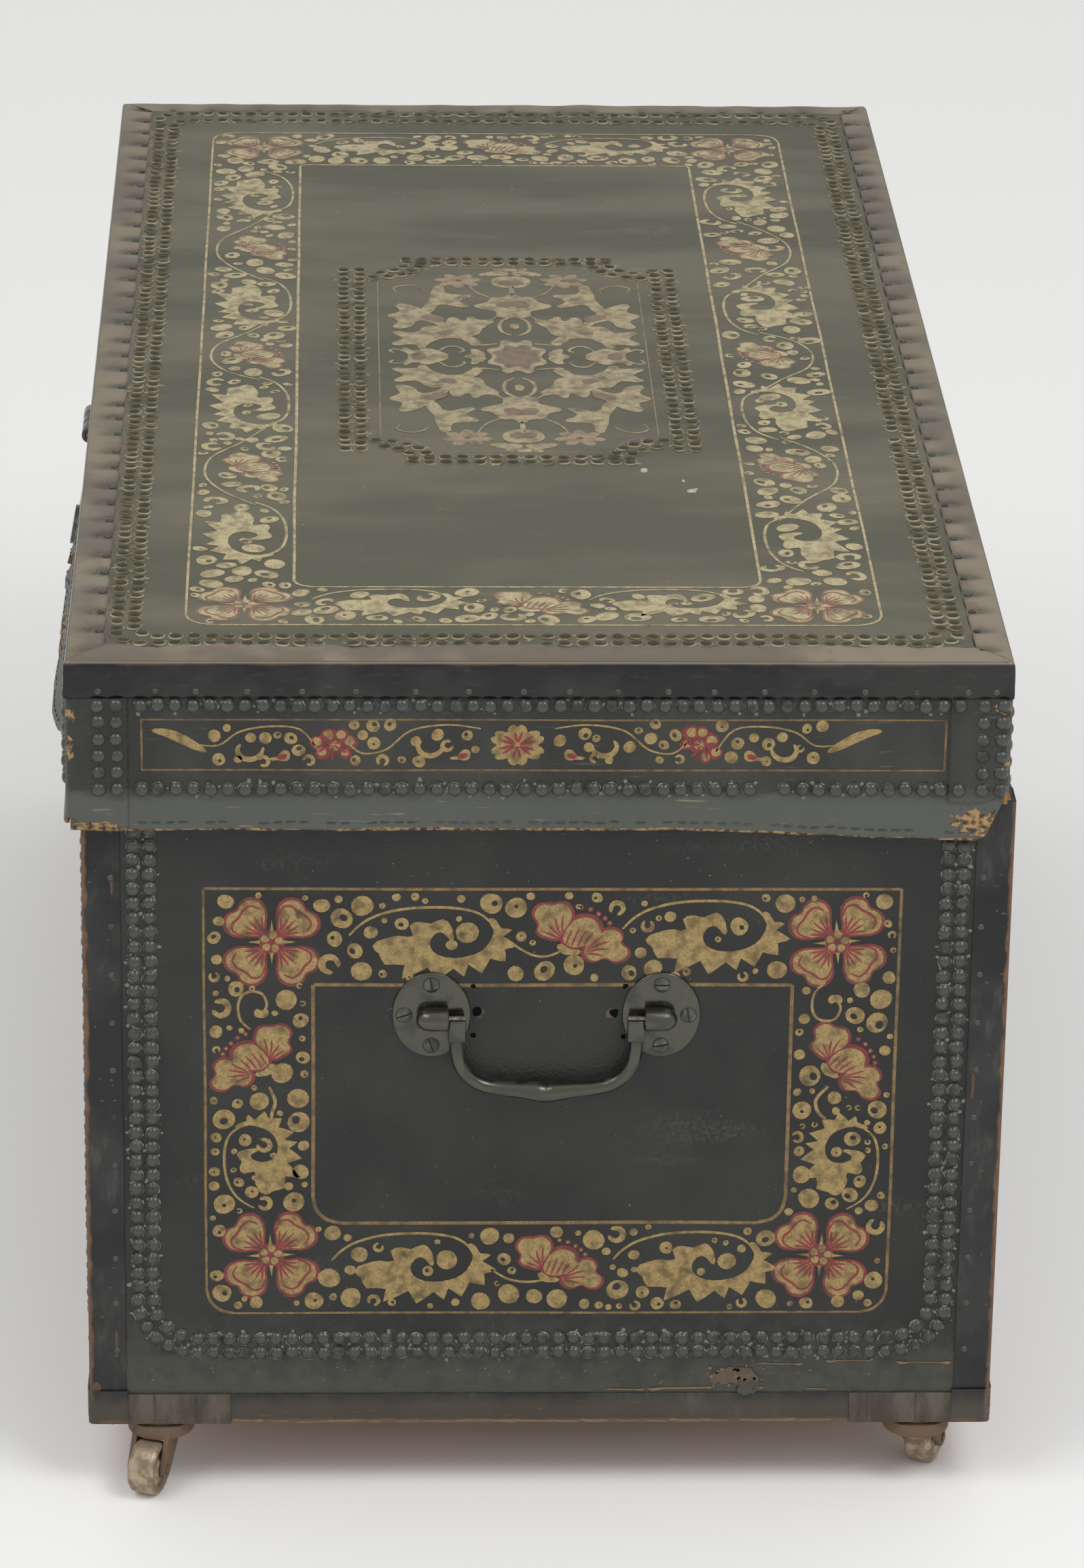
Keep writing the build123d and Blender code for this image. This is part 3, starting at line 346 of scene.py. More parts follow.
# %% [markdown]
# ## Finishes on the engineering pieces
# Pieces whose shape is already right keep it, and only change their finish. The name of each node says
# what it is made of, so a short table from words to finishes covers them all.

# %% Give every solid piece its finish
finish_words = (
    (("board", "rail"), camphorwood),
    (("wheel",), roller_brass),
    (("caster", "fork", "axle"), iron),
    (("bindings", "corner_caps"), case_binding),
    (("band", "wraps"), band_leather),
    (("lid_top",), lid_leather_dust_and_painted_light),
    (("leather",), body_leather),
    (("bail_pins", "hinge_pins", "hasp_pin"), steel),
    (("handle", "bail"), bronze),
    (("hinge", "lock", "hasp"), hinge_brass),
)
for name, node in nodes.items():
    chosen = next(finish for words, finish in finish_words if any(word in name for word in words))
    node.data.materials.clear()
    node.data.materials.append(chosen)
print("finished", len(nodes), "pieces")

# %% [markdown]
# ## Drawing boards
# Nails, paint and bindings all lie on flat sides. It is easier to place them in plain millimetres, right
# and up from a corner of the side as seen from outside, than in the trunk's own axes. A `Side` holds
# that change of axes as one matrix, and the body that the side moves with.

# %% Side: a flat face with its own millimetre axes
class Side:
    """A face of the trunk. x runs right and y up, in millimetres, seen from outside; lift is outwards."""

    def __init__(self, name, body, origin, right, up, width):
        self.name, self.body, self.width = name, body, width
        right, up = Vector(right), Vector(up)
        axes = Matrix((right, up, right.cross(up))).transposed().to_4x4()
        self.matrix = Matrix.Translation(origin) @ axes @ Matrix.Scale(MM, 4)

    def at(self, x, y, lift=0.0, turned=0.0, size=1.0):
        """The matrix that puts something drawn at the origin, in millimetres, at that place."""
        scale = Matrix.Diagonal((size, size, size, 1))
        return self.matrix @ Matrix.Translation((x, y, lift)) @ Matrix.Rotation(turned, 4, "Z") @ scale


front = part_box("front_leather")
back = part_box("back_leather")
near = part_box("near_end_leather")
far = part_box("far_end_leather")
lid_box = (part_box("lid_front_band")[0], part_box("lid_back_band")[1])
lid_ends = (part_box("lid_far_end_band")[0].x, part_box("lid_near_end_band")[1].x)
lid_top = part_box("lid_top_leather")[1].z
length = (case[1].x - case[0].x) / MM
width = (case[1].y - case[0].y) / MM
ALONG_X, ALONG_Y, UPWARDS = (1, 0, 0), (0, 1, 0), (0, 0, 1)
BACK_X, BACK_Y = (-1, 0, 0), (0, -1, 0)


def four_sides(prefix, body, near_x, far_x, front_y, back_y):
    """The near, far, front and back faces of the case or the lid, all measured from the case's corners."""
    return {
        "near": Side(prefix + "_near", body, (near_x, case[0].y, low), ALONG_Y, UPWARDS, width),
        "far": Side(prefix + "_far", body, (far_x, case[1].y, low), BACK_Y, UPWARDS, width),
        "front": Side(prefix + "_front", body, (case[0].x, front_y, low), ALONG_X, UPWARDS, length),
        "back": Side(prefix + "_back", body, (case[1].x, back_y, low), BACK_X, UPWARDS, length),
    }


case_sides = four_sides("case", "case", near[1].x, far[0].x, front[0].y, back[1].y)
lid_sides = four_sides("lid", "lid", lid_ends[1], lid_ends[0], lid_box[0].y, lid_box[1].y)
lid_field = Side("lid_top", "lid", (case[1].x, case[0].y, lid_top), ALONG_Y, BACK_X, width)
print("case", round(length), "by", round(width), "mm")


# %% Turn a bmesh into a piece that rides on a body
def as_mesh(shape, name):
    mesh = bpy.data.meshes.new(name)
    shape.to_mesh(mesh)
    shape.free()
    return mesh


def piece(name, shape, body, finishes, replaced=(), slot=None, smooth=True):
    """An object that rides on a body, and may stand in for engineering pieces. The slot argument is not used.
    """
    for face in shape.faces:
        face.smooth = smooth
    mesh = as_mesh(shape, name)
    made = bpy.data.objects.new(name, mesh)
    bpy.context.scene.collection.objects.link(made)
    for finish in finishes:
        mesh.materials.append(finish)
    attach(made, body)
    for node in replaced:
        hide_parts(node)
    return made


def put(shape, mesh, matrix):
    """Adds a copy of a small mesh to a bmesh, at a place."""
    copy = mesh.copy()
    copy.transform(matrix)
    if matrix.determinant() < 0:
        copy.flip_normals()
    shape.from_mesh(copy)
    bpy.data.meshes.remove(copy)


def placed(x, y, z):
    """A place in the trunk's own axes, in millimetres, for a small mesh drawn in millimetres."""
    return Matrix.Scale(MM, 4) @ Matrix.Translation((x, y, z))


# %% Shapes that start flat: grids, raised faces and hides
def bent(columns, rows, place):
    """A flat grid with each point moved to place(across, up), where both run from nought to one."""
    shape = bmesh.new()
    bmesh.ops.create_grid(shape, x_segments=columns, y_segments=rows, size=0.5)
    for vert in shape.verts:
        vert.co = place(vert.co.x + 0.5, vert.co.y + 0.5)
    return shape


def facing(shape, direction):
    """Turns the faces so that they look that way."""
    bmesh.ops.recalc_face_normals(shape, faces=shape.faces[:])
    if sum(face.normal.dot(direction) for face in shape.faces) < 0:
        bmesh.ops.reverse_faces(shape, faces=shape.faces[:])
    return shape


def raise_faces(shape, faces, height):
    """Pulls faces up by that height, with walls round them."""
    raised = bmesh.ops.extrude_face_region(shape, geom=faces)
    points = [item for item in raised["geom"] if isinstance(item, bmesh.types.BMVert)]
    bmesh.ops.translate(shape, vec=(0, 0, height), verts=points)


def thicken(made, depth, offset=-1, rim=0):
    """Gives a thin piece the thickness of a hide. `rim` picks the finish of its cut edge."""
    hide = made.modifiers.new("hide", "SOLIDIFY")
    hide.thickness, hide.offset, hide.material_offset_rim = depth * MM, offset, rim


# %% [markdown]
# ## Dome-headed nails
# Some 2,700 nails hold and decorate the leather. Their heads are low domes about 8 mm across. A head is
# a short curve spun round an upright axis. It repeats so often that it gets only nine sides: smooth
# shading hides the flats. The heads were struck by hand, so each one is turned, tipped and set a little
# off its line, and a few are missing.

# %% One nail head, spun from its outline
def spun(outline, steps, name):
    """A closed round shape: the outline's (radius, height) points, spun about the upright axis."""
    shape = bmesh.new()
    line = [shape.verts.new((radius, 0, height)) for radius, height in outline]
    edges = [shape.edges.new(pair) for pair in zip(line, line[1:])]
    bmesh.ops.spin(
        shape, geom=line + edges, cent=(0, 0, 0), axis=(0, 0, 1),
        angle=math.tau, steps=steps, use_merge=True,
    )
    bmesh.ops.remove_doubles(shape, verts=shape.verts[:], dist=0.0005)
    bmesh.ops.recalc_face_normals(shape, faces=shape.faces[:])
    return as_mesh(shape, name)


FOOT_REACH = 3.8
nail_head = spun([(3.95, 0), (3.85, 0.35), (3.2, 0.7), (2.0, 1.25), (0, 1.55)], 9, "nail_head")
domed_nail = spun([(4.0, 0), (3.85, 0.2), (3.6, 1.1), (2.9, 2.1), (1.6, 2.85), (0, 3.05)], 9, "domed_nail")
flat_nail = spun([(3.95, 0), (3.9, 0.4), (3.4, 0.5), (3.0, 1.3), (1.7, 2.25), (0, 2.5)], 9, "flat_nail")
for mesh in (nail_head, domed_nail, flat_nail):
    for face in mesh.polygons:
        reach = max(math.hypot(*mesh.vertices[index].co.xy) for index in face.vertices)
        face.material_index = int(reach > FOOT_REACH)
tack_head = spun([(1.9, -0.2), (1.7, 0.35), (0.9, 0.75), (0, 0.85)], 8, "tack_head")
print("a nail head has", len(nail_head.polygons), "faces")


# %% Rows of nails
def row(start, end, pitch, skip=()):
    """Points from start to end at about that pitch, jittered as hand work is."""
    start, end = Vector(start), Vector(end)
    count = max(1, round((end - start).length / pitch))
    points = []
    for index in range(count + 1):
        spot = start.lerp(end, index / count) + Vector((dice.uniform(-0.35, 0.35), dice.uniform(-0.35, 0.35)))
        if all((spot - Vector(gap)).length > pitch * 0.6 for gap in skip):
            points.append(spot)
    return points


NAILED = []


def nailed(side, points, finishes, head=nail_head, lift=0.0, label="nails"):
    """Drives a head at each point of a side, and notes the real nails in NAILED."""
    if label == "nails":
        NAILED.append((side, list(points)))
    shape = bmesh.new()
    for x, y in points:
        lean_x, lean_y = (Matrix.Rotation(dice.uniform(-0.07, 0.07), 4, axis) for axis in "XY")
        sunk, turn = dice.uniform(-0.12, 0.05), dice.uniform(0, math.tau)
        place = side.at(x, y, lift + sunk, turn, dice.uniform(0.95, 1.04))
        put(shape, head, place @ (lean_x @ lean_y))
    piece(f"{side.name}_{label}", shape, side.body, finishes)


def rounded_u(left, right, bottom, top, radius, pitch):
    """Nails down one side, round a corner, along the bottom and up the other side."""
    points = []
    for x in (left, right):
        points += row((x, top), (x, bottom + radius), pitch)
    points += row((left + radius, bottom), (right - radius, bottom), pitch)
    steps = round(radius * math.pi / 2 / pitch)
    for centre_x, begin in ((left + radius, 180), (right - radius, 270)):
        centre = Vector((centre_x, bottom + radius))
        for step in range(1, steps):
            turn = math.radians(begin + 90 * step / steps)
            points.append(centre + Vector((radius * math.cos(turn), radius * math.sin(turn))))
    return points


CASE_PITCH, ROWS_TOP = 7.9, 337.0
for side in case_sides.values():
    points = rounded_u(25.5, side.width - 24.5, 40.3, ROWS_TOP, 30.0, CASE_PITCH)
    points += rounded_u(33.4, side.width - 32.4, 48.3, ROWS_TOP, 22.0, CASE_PITCH)
    nailed(side, points, [side_nail, nail_foot], flat_nail)
print("nails on the case")


# %% Room for the hasp
def stretch_before(side, node, margin):
    """The stretch of a side that a solid stands before, in the side's millimetres."""
    inward = side.matrix.inverted()
    ends = [(inward @ corner).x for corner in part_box(node)]
    return min(ends) - margin, max(ends) + margin


# The hasp swings in against the lid's front, so nothing stands proud behind it.
HASP_STRETCH = stretch_before(lid_sides["front"], "hasp", 5.0)
print("behind the hasp:", HASP_STRETCH)

# %% Nails on the lid's sides
MISSING = ((339.0, 354.0),)
SIDE_PITCH = 8.5
for key, side in lid_sides.items():
    points = []
    for height in (398.0, 354.0):
        points += row((30, height), (side.width - 30, height), SIDE_PITCH, MISSING if key == "near" else ())
    for x in (9.5, 18.3, side.width - 18.3, side.width - 9.5):
        points += row((x, 398.0), (x, 354.0), SIDE_PITCH)
    if key == "front":
        points = [point for point in points if not HASP_STRETCH[0] < point[0] < HASP_STRETCH[1]]
    nailed(side, points, [side_nail, nail_foot], domed_nail)

# %% Nails on the lid's top: a double border and the frame of the medallion
LID_PITCH = 8.6
CORNER_CUT = 12.0
GAPS = ((127.5, 19.4), (423.1, 319.5), (220.3, 18.6))
points = []
for inset in (0.0, 8.5):
    left, right = 17.8 + inset, 430.5 - inset * 0.93
    near_row, far_row = 15.8 + inset * 1.07, 905.2 - inset * 1.6
    for x in (left, right):
        points += row((x, near_row + CORNER_CUT), (x, far_row - CORNER_CUT), LID_PITCH, GAPS)
    for y in (near_row, far_row):
        points += row((left + CORNER_CUT, y), (right - CORNER_CUT, y), LID_PITCH, GAPS)
    for x, turn_x in ((left, 4), (right, -4)):
        for y, turn_y in ((near_row, 4), (far_row, -4)):
            points.append(Vector((x + turn_x, y + turn_y)))
# The medallion's frame: straight double rows, and a hollow quarter round at each corner.
for x in (130.0, 138.6, 307.0, 315.6):
    points += row((x, 296), (x, 598), LID_PITCH)
for x, across in ((149.0, 1), (297.0, -1)):
    for y, away in ((285.0, 1), (609.0, -1)):
        for radius in (21.0, 29.5):
            centre = Vector((x - across * 4, y - away * 5))
            for angle in range(2, 90, round(500 / radius)):
                turn = math.radians(angle)
                right_by, up_by = across * radius * math.cos(turn), away * radius * math.sin(turn)
                points.append(centre + Vector((right_by, up_by)))
for y, away in ((279.5, 1), (614.5, -1)):
    for step in (0.0, LID_PITCH):
        height = y - away * (step * 0.9 - 4)
        points += row((174 - step, height), (272 + step, height), LID_PITCH)
nailed(lid_field, points, [lid_nail, lid_foot])
print("nails on the lid")

# %% [markdown]
# ## The lid's edge bindings
# Each top edge is covered by one strip of leather, folded over the edge and tacked along its border. The
# leather sinks at every tack and swells between them, which makes a row of soft puckers. A strip starts as
# a flat grid. Every point of the grid has a place along the edge and a place across the strip, and the
# second one says how far in, or how far down over the fold, the point ends up.

# %% Finish of the lid's bindings
def near_spot(finish, centre, reach, ragged, grain):
    """One at a place on the trunk and nought at `reach` millimetres from it, with a ragged border."""
    offset = finish.node("VectorMath", {"operation": "SUBTRACT"}, {0: finish.place, 1: centre})
    share = finish.node("VectorMath", {"operation": "DIVIDE"}, {0: offset, 1: [part * MM for part in reach]})
    away = finish.node("VectorMath", {"operation": "LENGTH"}, {0: share}, output="Value")
    return 1 - finish.ramp(away + (finish.cloud(grain, 6) - 0.5) * ragged, 0.7, 1.0)


def lid_edge_finish():
    finish = Finish("lid_binding_leather")
    height = finish.axes()[2]
    flat = finish.ramp(height, lid_top - 2.0 * MM, lid_top - 0.6 * MM)
    patch = finish.ramp(finish.cloud(40, 5, (1.5, 1.5, 1)), 0.42, 0.6)
    black = finish.mix(patch, swatch(13, 14, 14), swatch(36, 37, 35))
    faded = finish.mix(patch, swatch(101, 93, 80), swatch(129, 119, 102))
    colour = finish.mix(flat, black, faded)
    # Painted shade: the dents round the tacks are darkened, as the shadow lying in each pucker.
    painted_dent_shade = finish.node("Attribute", {"attribute_name": "grime"}, output="Fac")
    colour = finish.mix(painted_dent_shade * (0.4 + finish.cloud(3, 5)), colour, swatch(46, 42, 36))
    smears = finish.ramp(finish.cloud(4, 5, (1, 3, 0.7), 6.0), 0.55, 0.75)
    colour = finish.mix(smears * (0.1 + flat * 0.2), colour, swatch(112, 108, 100))
    fold = finish.ramp(height, lid_top - 3.6 * MM, lid_top - 2.2 * MM) * (1 - flat)
    rubbed = fold * finish.ramp(finish.cloud(30, 7, (1, 1, 0.5), 3.0), 0.42, 0.62)
    colour = finish.mix(rubbed * 0.5, colour, swatch(94, 74, 60))
    stains = finish.ramp(finish.cloud(7, 5, (2, 2, 0.5), 8.0), 0.62, 0.72)
    colour = finish.mix(stains * flat * 0.4, colour, swatch(110, 76, 56))
    normal = finish.bump(finish.cloud(10, 4), 0.5)
    normal = finish.bump(finish.cloud(1.2, 2), 0.05, normal)
    # The pale line along the crest of the fold is a painted highlight.
    painted_crest_highlight = finish.ramp(height, lid_top - 2.6 * MM, lid_top - 1.4 * MM)
    painted_crest_highlight = painted_crest_highlight * (1 - finish.ramp(height, lid_top - 1.4 * MM, lid_top - 0.4 * MM))
    colour = finish.mix(painted_crest_highlight * 0.55, colour, swatch(150, 138, 122))
    rough = 0.2 + patch * 0.12 + flat * 0.32
    return finish.done(Base_Color=colour, Roughness=rough, Normal=normal, Specular_IOR_Level=0.42)


lid_edge_leather = lid_edge_finish()

# %% Fold a strip over each of the lid's top edges
LID_FRONT, LID_BACK = -6.7, 455.5
LID_NEAR, LID_FAR = -6.0, length + 6.0
FOLD = 3.2
STRIP_HIDE = 0.9
DROP = 20.0
TACK_PITCH = 26.0


def edge_profile(top_width):
    """Places across the strip as (distance in from the edge, height above the lid)."""
    points = [(top_width, -0.9), (top_width, 0.1), (top_width * 0.86, 0.3), (top_width * 0.66, 0.35)]
    points += [(top_width * 0.45, 0.35), (top_width * 0.28, 0.25)]
    for part in range(6):
        angle = math.pi / 2 * part / 5
        points.append((FOLD * (1 - math.sin(angle)), -FOLD * (1 - math.cos(angle))))
    points += [(0.1, -DROP * 0.4), (0.1, -DROP * 0.65), (0.0, -DROP * 0.85), (0.0, -DROP), (1.0, -DROP)]
    return points


def fold_strip(start, end, top_width, tacks, puckers):
    """One strip along an edge of the lid, in the lid's own millimetres."""
    start, end = Vector((*start, 0)), Vector((*end, 0))
    reach = (end - start).length
    along = (end - start) / reach
    inward = Vector((-along.y, along.x, 0))
    profile = edge_profile(top_width)
    shape = bmesh.new()
    steps = round(reach / 2.4)
    bmesh.ops.create_grid(shape, x_segments=steps, y_segments=len(profile) - 1, size=0.5)
    grime = shape.verts.layers.float.new("grime")
    for vert in shape.verts:
        inset, height = profile[round((vert.co.y + 0.5) * (len(profile) - 1))]
        miter = max(0.0, inset)
        place = miter + (vert.co.x + 0.5) * (reach - 2 * miter)
        near_tack = min(abs(place - tack) for tack in tacks)
        swell = near_tack / TACK_PITCH * 2
        if height > -0.5:
            dent = math.exp(-((near_tack / 4.2) ** 2)) * math.exp(-(((top_width - 2.5 - inset) / 8.0) ** 2))
            height += puckers * 0.5 * (min(1.0, swell) ** 0.7 - 0.5) * min(1, inset / top_width * 1.3)
            height -= min(puckers, 2.0) * 0.7 * dent
            inset += puckers * 0.5 * (min(1.0, swell) - 0.5) * (inset / top_width) ** 2
            # How strongly painted shade darkens the dent round this tack.
            vert[grime] = min(1.0, dent * (puckers / 2.1) * 1.2)
        spot = start + along * place
        ripple = noise.noise(Vector((spot.x, spot.y, height)) * 0.045) * 0.9
        vert.co = spot + inward * inset + Vector((0, 0, height + (ripple if height > -0.5 else 0)))
        if height <= -FOLD:
            vert.co -= inward * (0.35 + noise.noise(spot * 0.03 + Vector((0, 0, height * 0.1))) * 0.5)
    return facing(shape, Vector(UPWARDS))


NEAR_TACKS = (
    9.5, 37.6, 57.1, 82.1, 108.8, 134.9, 163.9, 189.7, 216.4, 238.7,
    262.3, 286.9, 309.2, 333.7, 357.9, 382.7, 408.1, 433, 447,
)


def tack_row(reach):
    return [TACK_PITCH * (index + 0.5) + dice.uniform(-3, 3) for index in range(int(reach / TACK_PITCH))]


edges = (
    ((LID_FRONT, LID_NEAR), (LID_BACK, LID_NEAR), 21.0, [tack - LID_FRONT for tack in NEAR_TACKS], 0.25),
    ((LID_BACK, LID_NEAR), (LID_BACK, LID_FAR), 17.5, tack_row(LID_FAR - LID_NEAR), 2.1),
    ((LID_BACK, LID_FAR), (LID_FRONT, LID_FAR), 18.5, tack_row(LID_BACK - LID_FRONT), 0.9),
    ((LID_FRONT, LID_FAR), (LID_FRONT, LID_NEAR), 18.5, tack_row(LID_FAR - LID_NEAR), 2.3),
)
bindings, tacks = bmesh.new(), bmesh.new()
bindings.verts.layers.float.new("grime")
for start, end, top_width, places, puckers in edges:
    strip = fold_strip(start, end, top_width, places, puckers)
    put(bindings, as_mesh(strip, "strip"), lid_field.matrix)
    along = (Vector(end) - Vector(start)).normalized()
    inward = Vector((-along.y, along.x))
    down = Matrix.Rotation(math.pi / 2, 4, Vector((along.x, along.y, 0)))
    for place in places:
        spot = Vector(start) + along * place
        if puckers > 0.5:
            spot += inward * (top_width - 2.6)
            put(tacks, tack_head, lid_field.at(spot.x, spot.y, -0.35))
        else:
            put(tacks, tack_head, lid_field.at(spot.x, spot.y - 0.35, 3.5 - DROP) @ down)
lid_strips = piece(
    "lid_edge_bindings", bindings, "lid", [lid_edge_leather, raw_leather], ["lid_bindings"], "japanned_sheet"
)
thicken(lid_strips, STRIP_HIDE)
piece("lid_edge_tacks", tacks, "lid", [side_nail])
print("bindings on the lid, with", sum(len(edge[3]) for edge in edges), "tacks")

# %% [markdown]
# ## Bands and aprons
# Round the lid's sides the leather is one wide band. On the front and the ends it hangs a little below the
# wood as an apron that hides the gap. Its cut edge is raw and tan, a line of stitches runs just above it, and
# after so many years it ripples, and is torn and curled where the trunk was knocked. Each band is a fine
# grid that is pushed out of flat by a rule of its own, then given the thickness of the hide. The rim of that
# thickness gets the raw leather.

# %% Bands of leather round the lid
BAND_TOP = 404.0
APRON = 332.0
BAND_HIDE = 2.2


def band_finish():
    """Leather with a dusty apron, torn to tan at the corners."""
    finish = Finish("lid_band_leather_worn")
    blotch = finish.ramp(finish.cloud(60, 5), 0.38, 0.66)
    colour = finish.mix(blotch, swatch(30, 32, 29), swatch(50, 52, 46))
    _, deep, height = finish.axes()
    apron = 1 - finish.ramp(height + (finish.cloud(12, 4, (3, 3, 1)) - 0.5) * 0.016, 0.386, 0.392)
    colour = finish.mix(apron * 0.65, colour, swatch(90, 93, 87))
    scratches = finish.ramp(finish.cloud(3, 4, (8, 8, 0.6), 3.3), 0.66, 0.74)
    colour = finish.mix(scratches * (0.15 + apron * 0.45), colour, swatch(150, 138, 112))
    sag = finish.ramp(deep, lid_box[0].y + 0.29, lid_box[0].y + 0.44) * 0.0046
    sagging = height + sag
    fray = (finish.cloud(16, 6, (2, 2, 1), 5.0) - 0.5) * 0.0045
    worn = 1 - finish.ramp(sagging + fray, 0.3703, 0.3713)
    # Where the hide is torn, as the middle of each spot in metres and its reach in millimetres.
    for centre, reach in (
        ((0.468, lid_box[1].y - 0.015, 0.3745), (10, 12, 8)),
        ((0.468, lid_box[0].y + 0.014, 0.372), (9, 14, 3.0)), ((0.468, lid_box[0].y, 0.431), (4, 4, 4)),
        ((0.468, lid_box[0].y, 0.413), (3, 3, 9)), ((0.468, lid_box[1].y - 0.002, 0.435), (4, 9, 3)),
        ((0.468, lid_box[1].y, 0.4055), (4, 3, 4)), ((0.21, lid_box[0].y - 0.012, 0.374), (34, 12, 5)),
        ((0.11, lid_box[0].y - 0.012, 0.3715), (26, 12, 4)),
    ):
        worn = worn + near_spot(finish, centre, reach, 2.2, 3)
    shreds = finish.cloud(3.0, 6, (1.1, 1.1, 0.8), 2.0)
    tan = finish.mix(finish.ramp(shreds, 0.38, 0.6), swatch(62, 50, 38), swatch(170, 138, 92))
    worn = finish.ramp(worn, 0.1, 0.9)
    colour = finish.mix(worn * 0.9, colour, tan)
    normal = finish.bump(finish.cells(1.6), 0.3)
    normal = finish.bump(finish.cloud(13, 5), 0.5, normal)
    normal = finish.bump(shreds * worn, 0.6, normal)
    return finish.done(Base_Color=colour, Roughness=0.46 + worn * 0.3 + apron * 0.08, Normal=normal)


worn_band = band_finish()


def hang(side, left, right, bottom, push, name, replaced):
    """One band. `bottom` gives its lower edge's height and `push` how far it stands out, in millimetres."""
    def place(across, up):
        x = left + across * (right - left)
        low_edge = bottom(x)
        y = low_edge + up**1.3 * (BAND_TOP - low_edge)
        return side.matrix @ Vector((x, y, push(x, y)))

    shape = bent(round((right - left) / 4), 22, place)
    made = piece(name, shape, side.body, [worn_band, raw_leather], [replaced], "painted_leather")
    thicken(made, BAND_HIDE, rim=1)


def eased(value):
    value = min(1.0, max(0.0, value))
    return value * value * (3 - 2 * value)


RIPPLE_HEIGHT = 0.9


def ripple(x, y, seed):
    """Waves that grow towards the free edge of the apron."""
    free = eased((356 - y) / 24)
    waves = noise.noise(Vector((x * 0.018, seed, 0))) + 0.4 * noise.noise(Vector((x * 0.06, seed, 5)))
    return free * RIPPLE_HEIGHT * waves


def ragged(x, seed, size=0.8):
    slow, quick = noise.noise(Vector((x * 0.05, seed, 1))), noise.noise(Vector((x * 0.3, seed, 2)))
    return size * slow + size * 0.6 * quick


def near_bottom(x):
    sag = 4.6 * eased((x - 285) / 150)
    torn_off = 20 * eased((x - 438) / 15) ** 2.2
    return APRON - sag + torn_off + ragged(x, 3)


def near_push(x, y):
    return ripple(x, y, 1) + 1.6 * eased((x - 380) / 70) * eased((348 - y) / 20)


def front_bottom(x):
    notch = 34 * max(0.0, 1 - abs(x - (length - 349)) / 9) ** 1.2
    tears = 9 * max(0.0, noise.noise(Vector((x * 0.045, 8, 0)))) * eased((x - (length - 430)) / 40)
    return APRON + ragged(x, 11) + notch + tears


def front_push(x, y):
    """The front apron has come away from the wood towards the near end, and its edge curls outwards."""
    away = eased((x - (length - 470)) / 110) * (1 - 0.92 * eased((x - (length - 170)) / 130))
    hang_out = min(1.0, max(0.0, (398 - y) / 68))
    curl_out = eased((350 - y) / 18) * (5 + 3 * noise.noise(Vector((x * 0.02, 4, 0))))
    middle, reach = sum(HASP_STRETCH) / 2, (HASP_STRETCH[1] - HASP_STRETCH[0]) / 2
    clear = eased((abs(x - middle) - reach) / 24)
    return clear * (ripple(x, y, 5) + min(15.5, away * (hang_out * 9.5 + curl_out)))


def lay_on(made, side, push, lift):
    """Moves a piece's points out by as far as the leather under them stands off the wood."""
    inward = side.matrix.inverted()
    for vert in made.data.vertices:
        spot = inward @ vert.co
        reach = push(spot.x, spot.y)
        spot.z += reach + (lift if reach > 0.05 else 0.0)
        vert.co = side.matrix @ spot


def far_push(x, y):
    return ripple(x, y, 21)


def far_bottom(x):
    return APRON + ragged(x, 20)


BACK_BAND_BOTTOM = 345.6
for key, left, right, bottom, push in (
    ("near", -4.6, 452.4, near_bottom, near_push), ("far", 4.6, 464.6, far_bottom, far_push),
    ("front", -4.2, length + 1.5, front_bottom, front_push),
    ("back", -4.2, length + 4.2, lambda x: BACK_BAND_BOTTOM, lambda x, y: 0.0),
):
    replaced = f"lid_{key}_end_band" if key in ("near", "far") else f"lid_{key}_band"
    hang(lid_sides[key], left, right, bottom, push, f"lid_{key}_band_leather", replaced)
waxed_thread = leather(
    "waxed_thread", swatch(50, 50, 44), swatch(78, 74, 62), swatch(160, 150, 124), 0.8, 0.05, 0.5,
)
STITCH_PITCH, STITCH_HEIGHT = 6.6, 4.2
LOST_STITCHES = 0.14


def stitched(side, left, right, bottom, push, bare=(0, 0)):
    """A row of sewing along an apron: short thread bars that dip into the leather at each end."""
    thread = spun([(0.0, -2.5), (0.26, -2.0), (0.36, 0), (0.26, 2.0), (0.0, 2.5)], 6, "thread")
    shape = bmesh.new()
    x = left
    while x < right:
        y = bottom(x) + STITCH_HEIGHT + dice.uniform(-0.2, 0.2)
        if dice.random() > LOST_STITCHES and y < APRON + 9 and not bare[0] < x < bare[1]:
            lying = Matrix.Rotation(math.pi / 2 + dice.uniform(-0.12, 0.12), 4, "Y")
            lean = dice.uniform(-0.1, 0.1)
            put(shape, thread, side.at(x, y, push(x, y) + 0.15, lean) @ lying)
        x += STITCH_PITCH
    piece(side.name + "_stitches", shape, side.body, [waxed_thread])


stitched(lid_sides["near"], 24, 436, near_bottom, near_push)
stitched(lid_sides["far"], 24, 436, lambda x: APRON, far_push)
stitched(lid_sides["front"], 24, length - 24, front_bottom, front_push, bare=HASP_STRETCH)
print("bands hung and stitched")

# %% [markdown]
# The corners of the lid are wrapped in extra pieces, because a folded corner wears through first. A wrap is
# one more grid: its middle column lies on the rounded corner and its two wings lie flat on the sides.

# %% Corner wraps
CORNER_ROUND = 4.5
WRAP_WING = 29.5


def wrap_point(corner, along, height, lift):
    """A point of a wrap; `along` runs from one wing (negative) round the corner to the other."""
    across, depth, sign_x, sign_y = corner
    half_arc = CORNER_ROUND * math.pi / 4
    angle = math.pi / 4 + max(-half_arc, min(half_arc, along)) / CORNER_ROUND
    beyond = max(0.0, abs(along) - half_arc)
    x = across - CORNER_ROUND + (CORNER_ROUND + lift) * math.cos(angle) - (beyond if along > 0 else 0)
    y = depth - CORNER_ROUND + (CORNER_ROUND + lift) * math.sin(angle) - (beyond if along < 0 else 0)
    return Vector((sign_x * x * MM, sign_y * y * MM, low + height * MM))


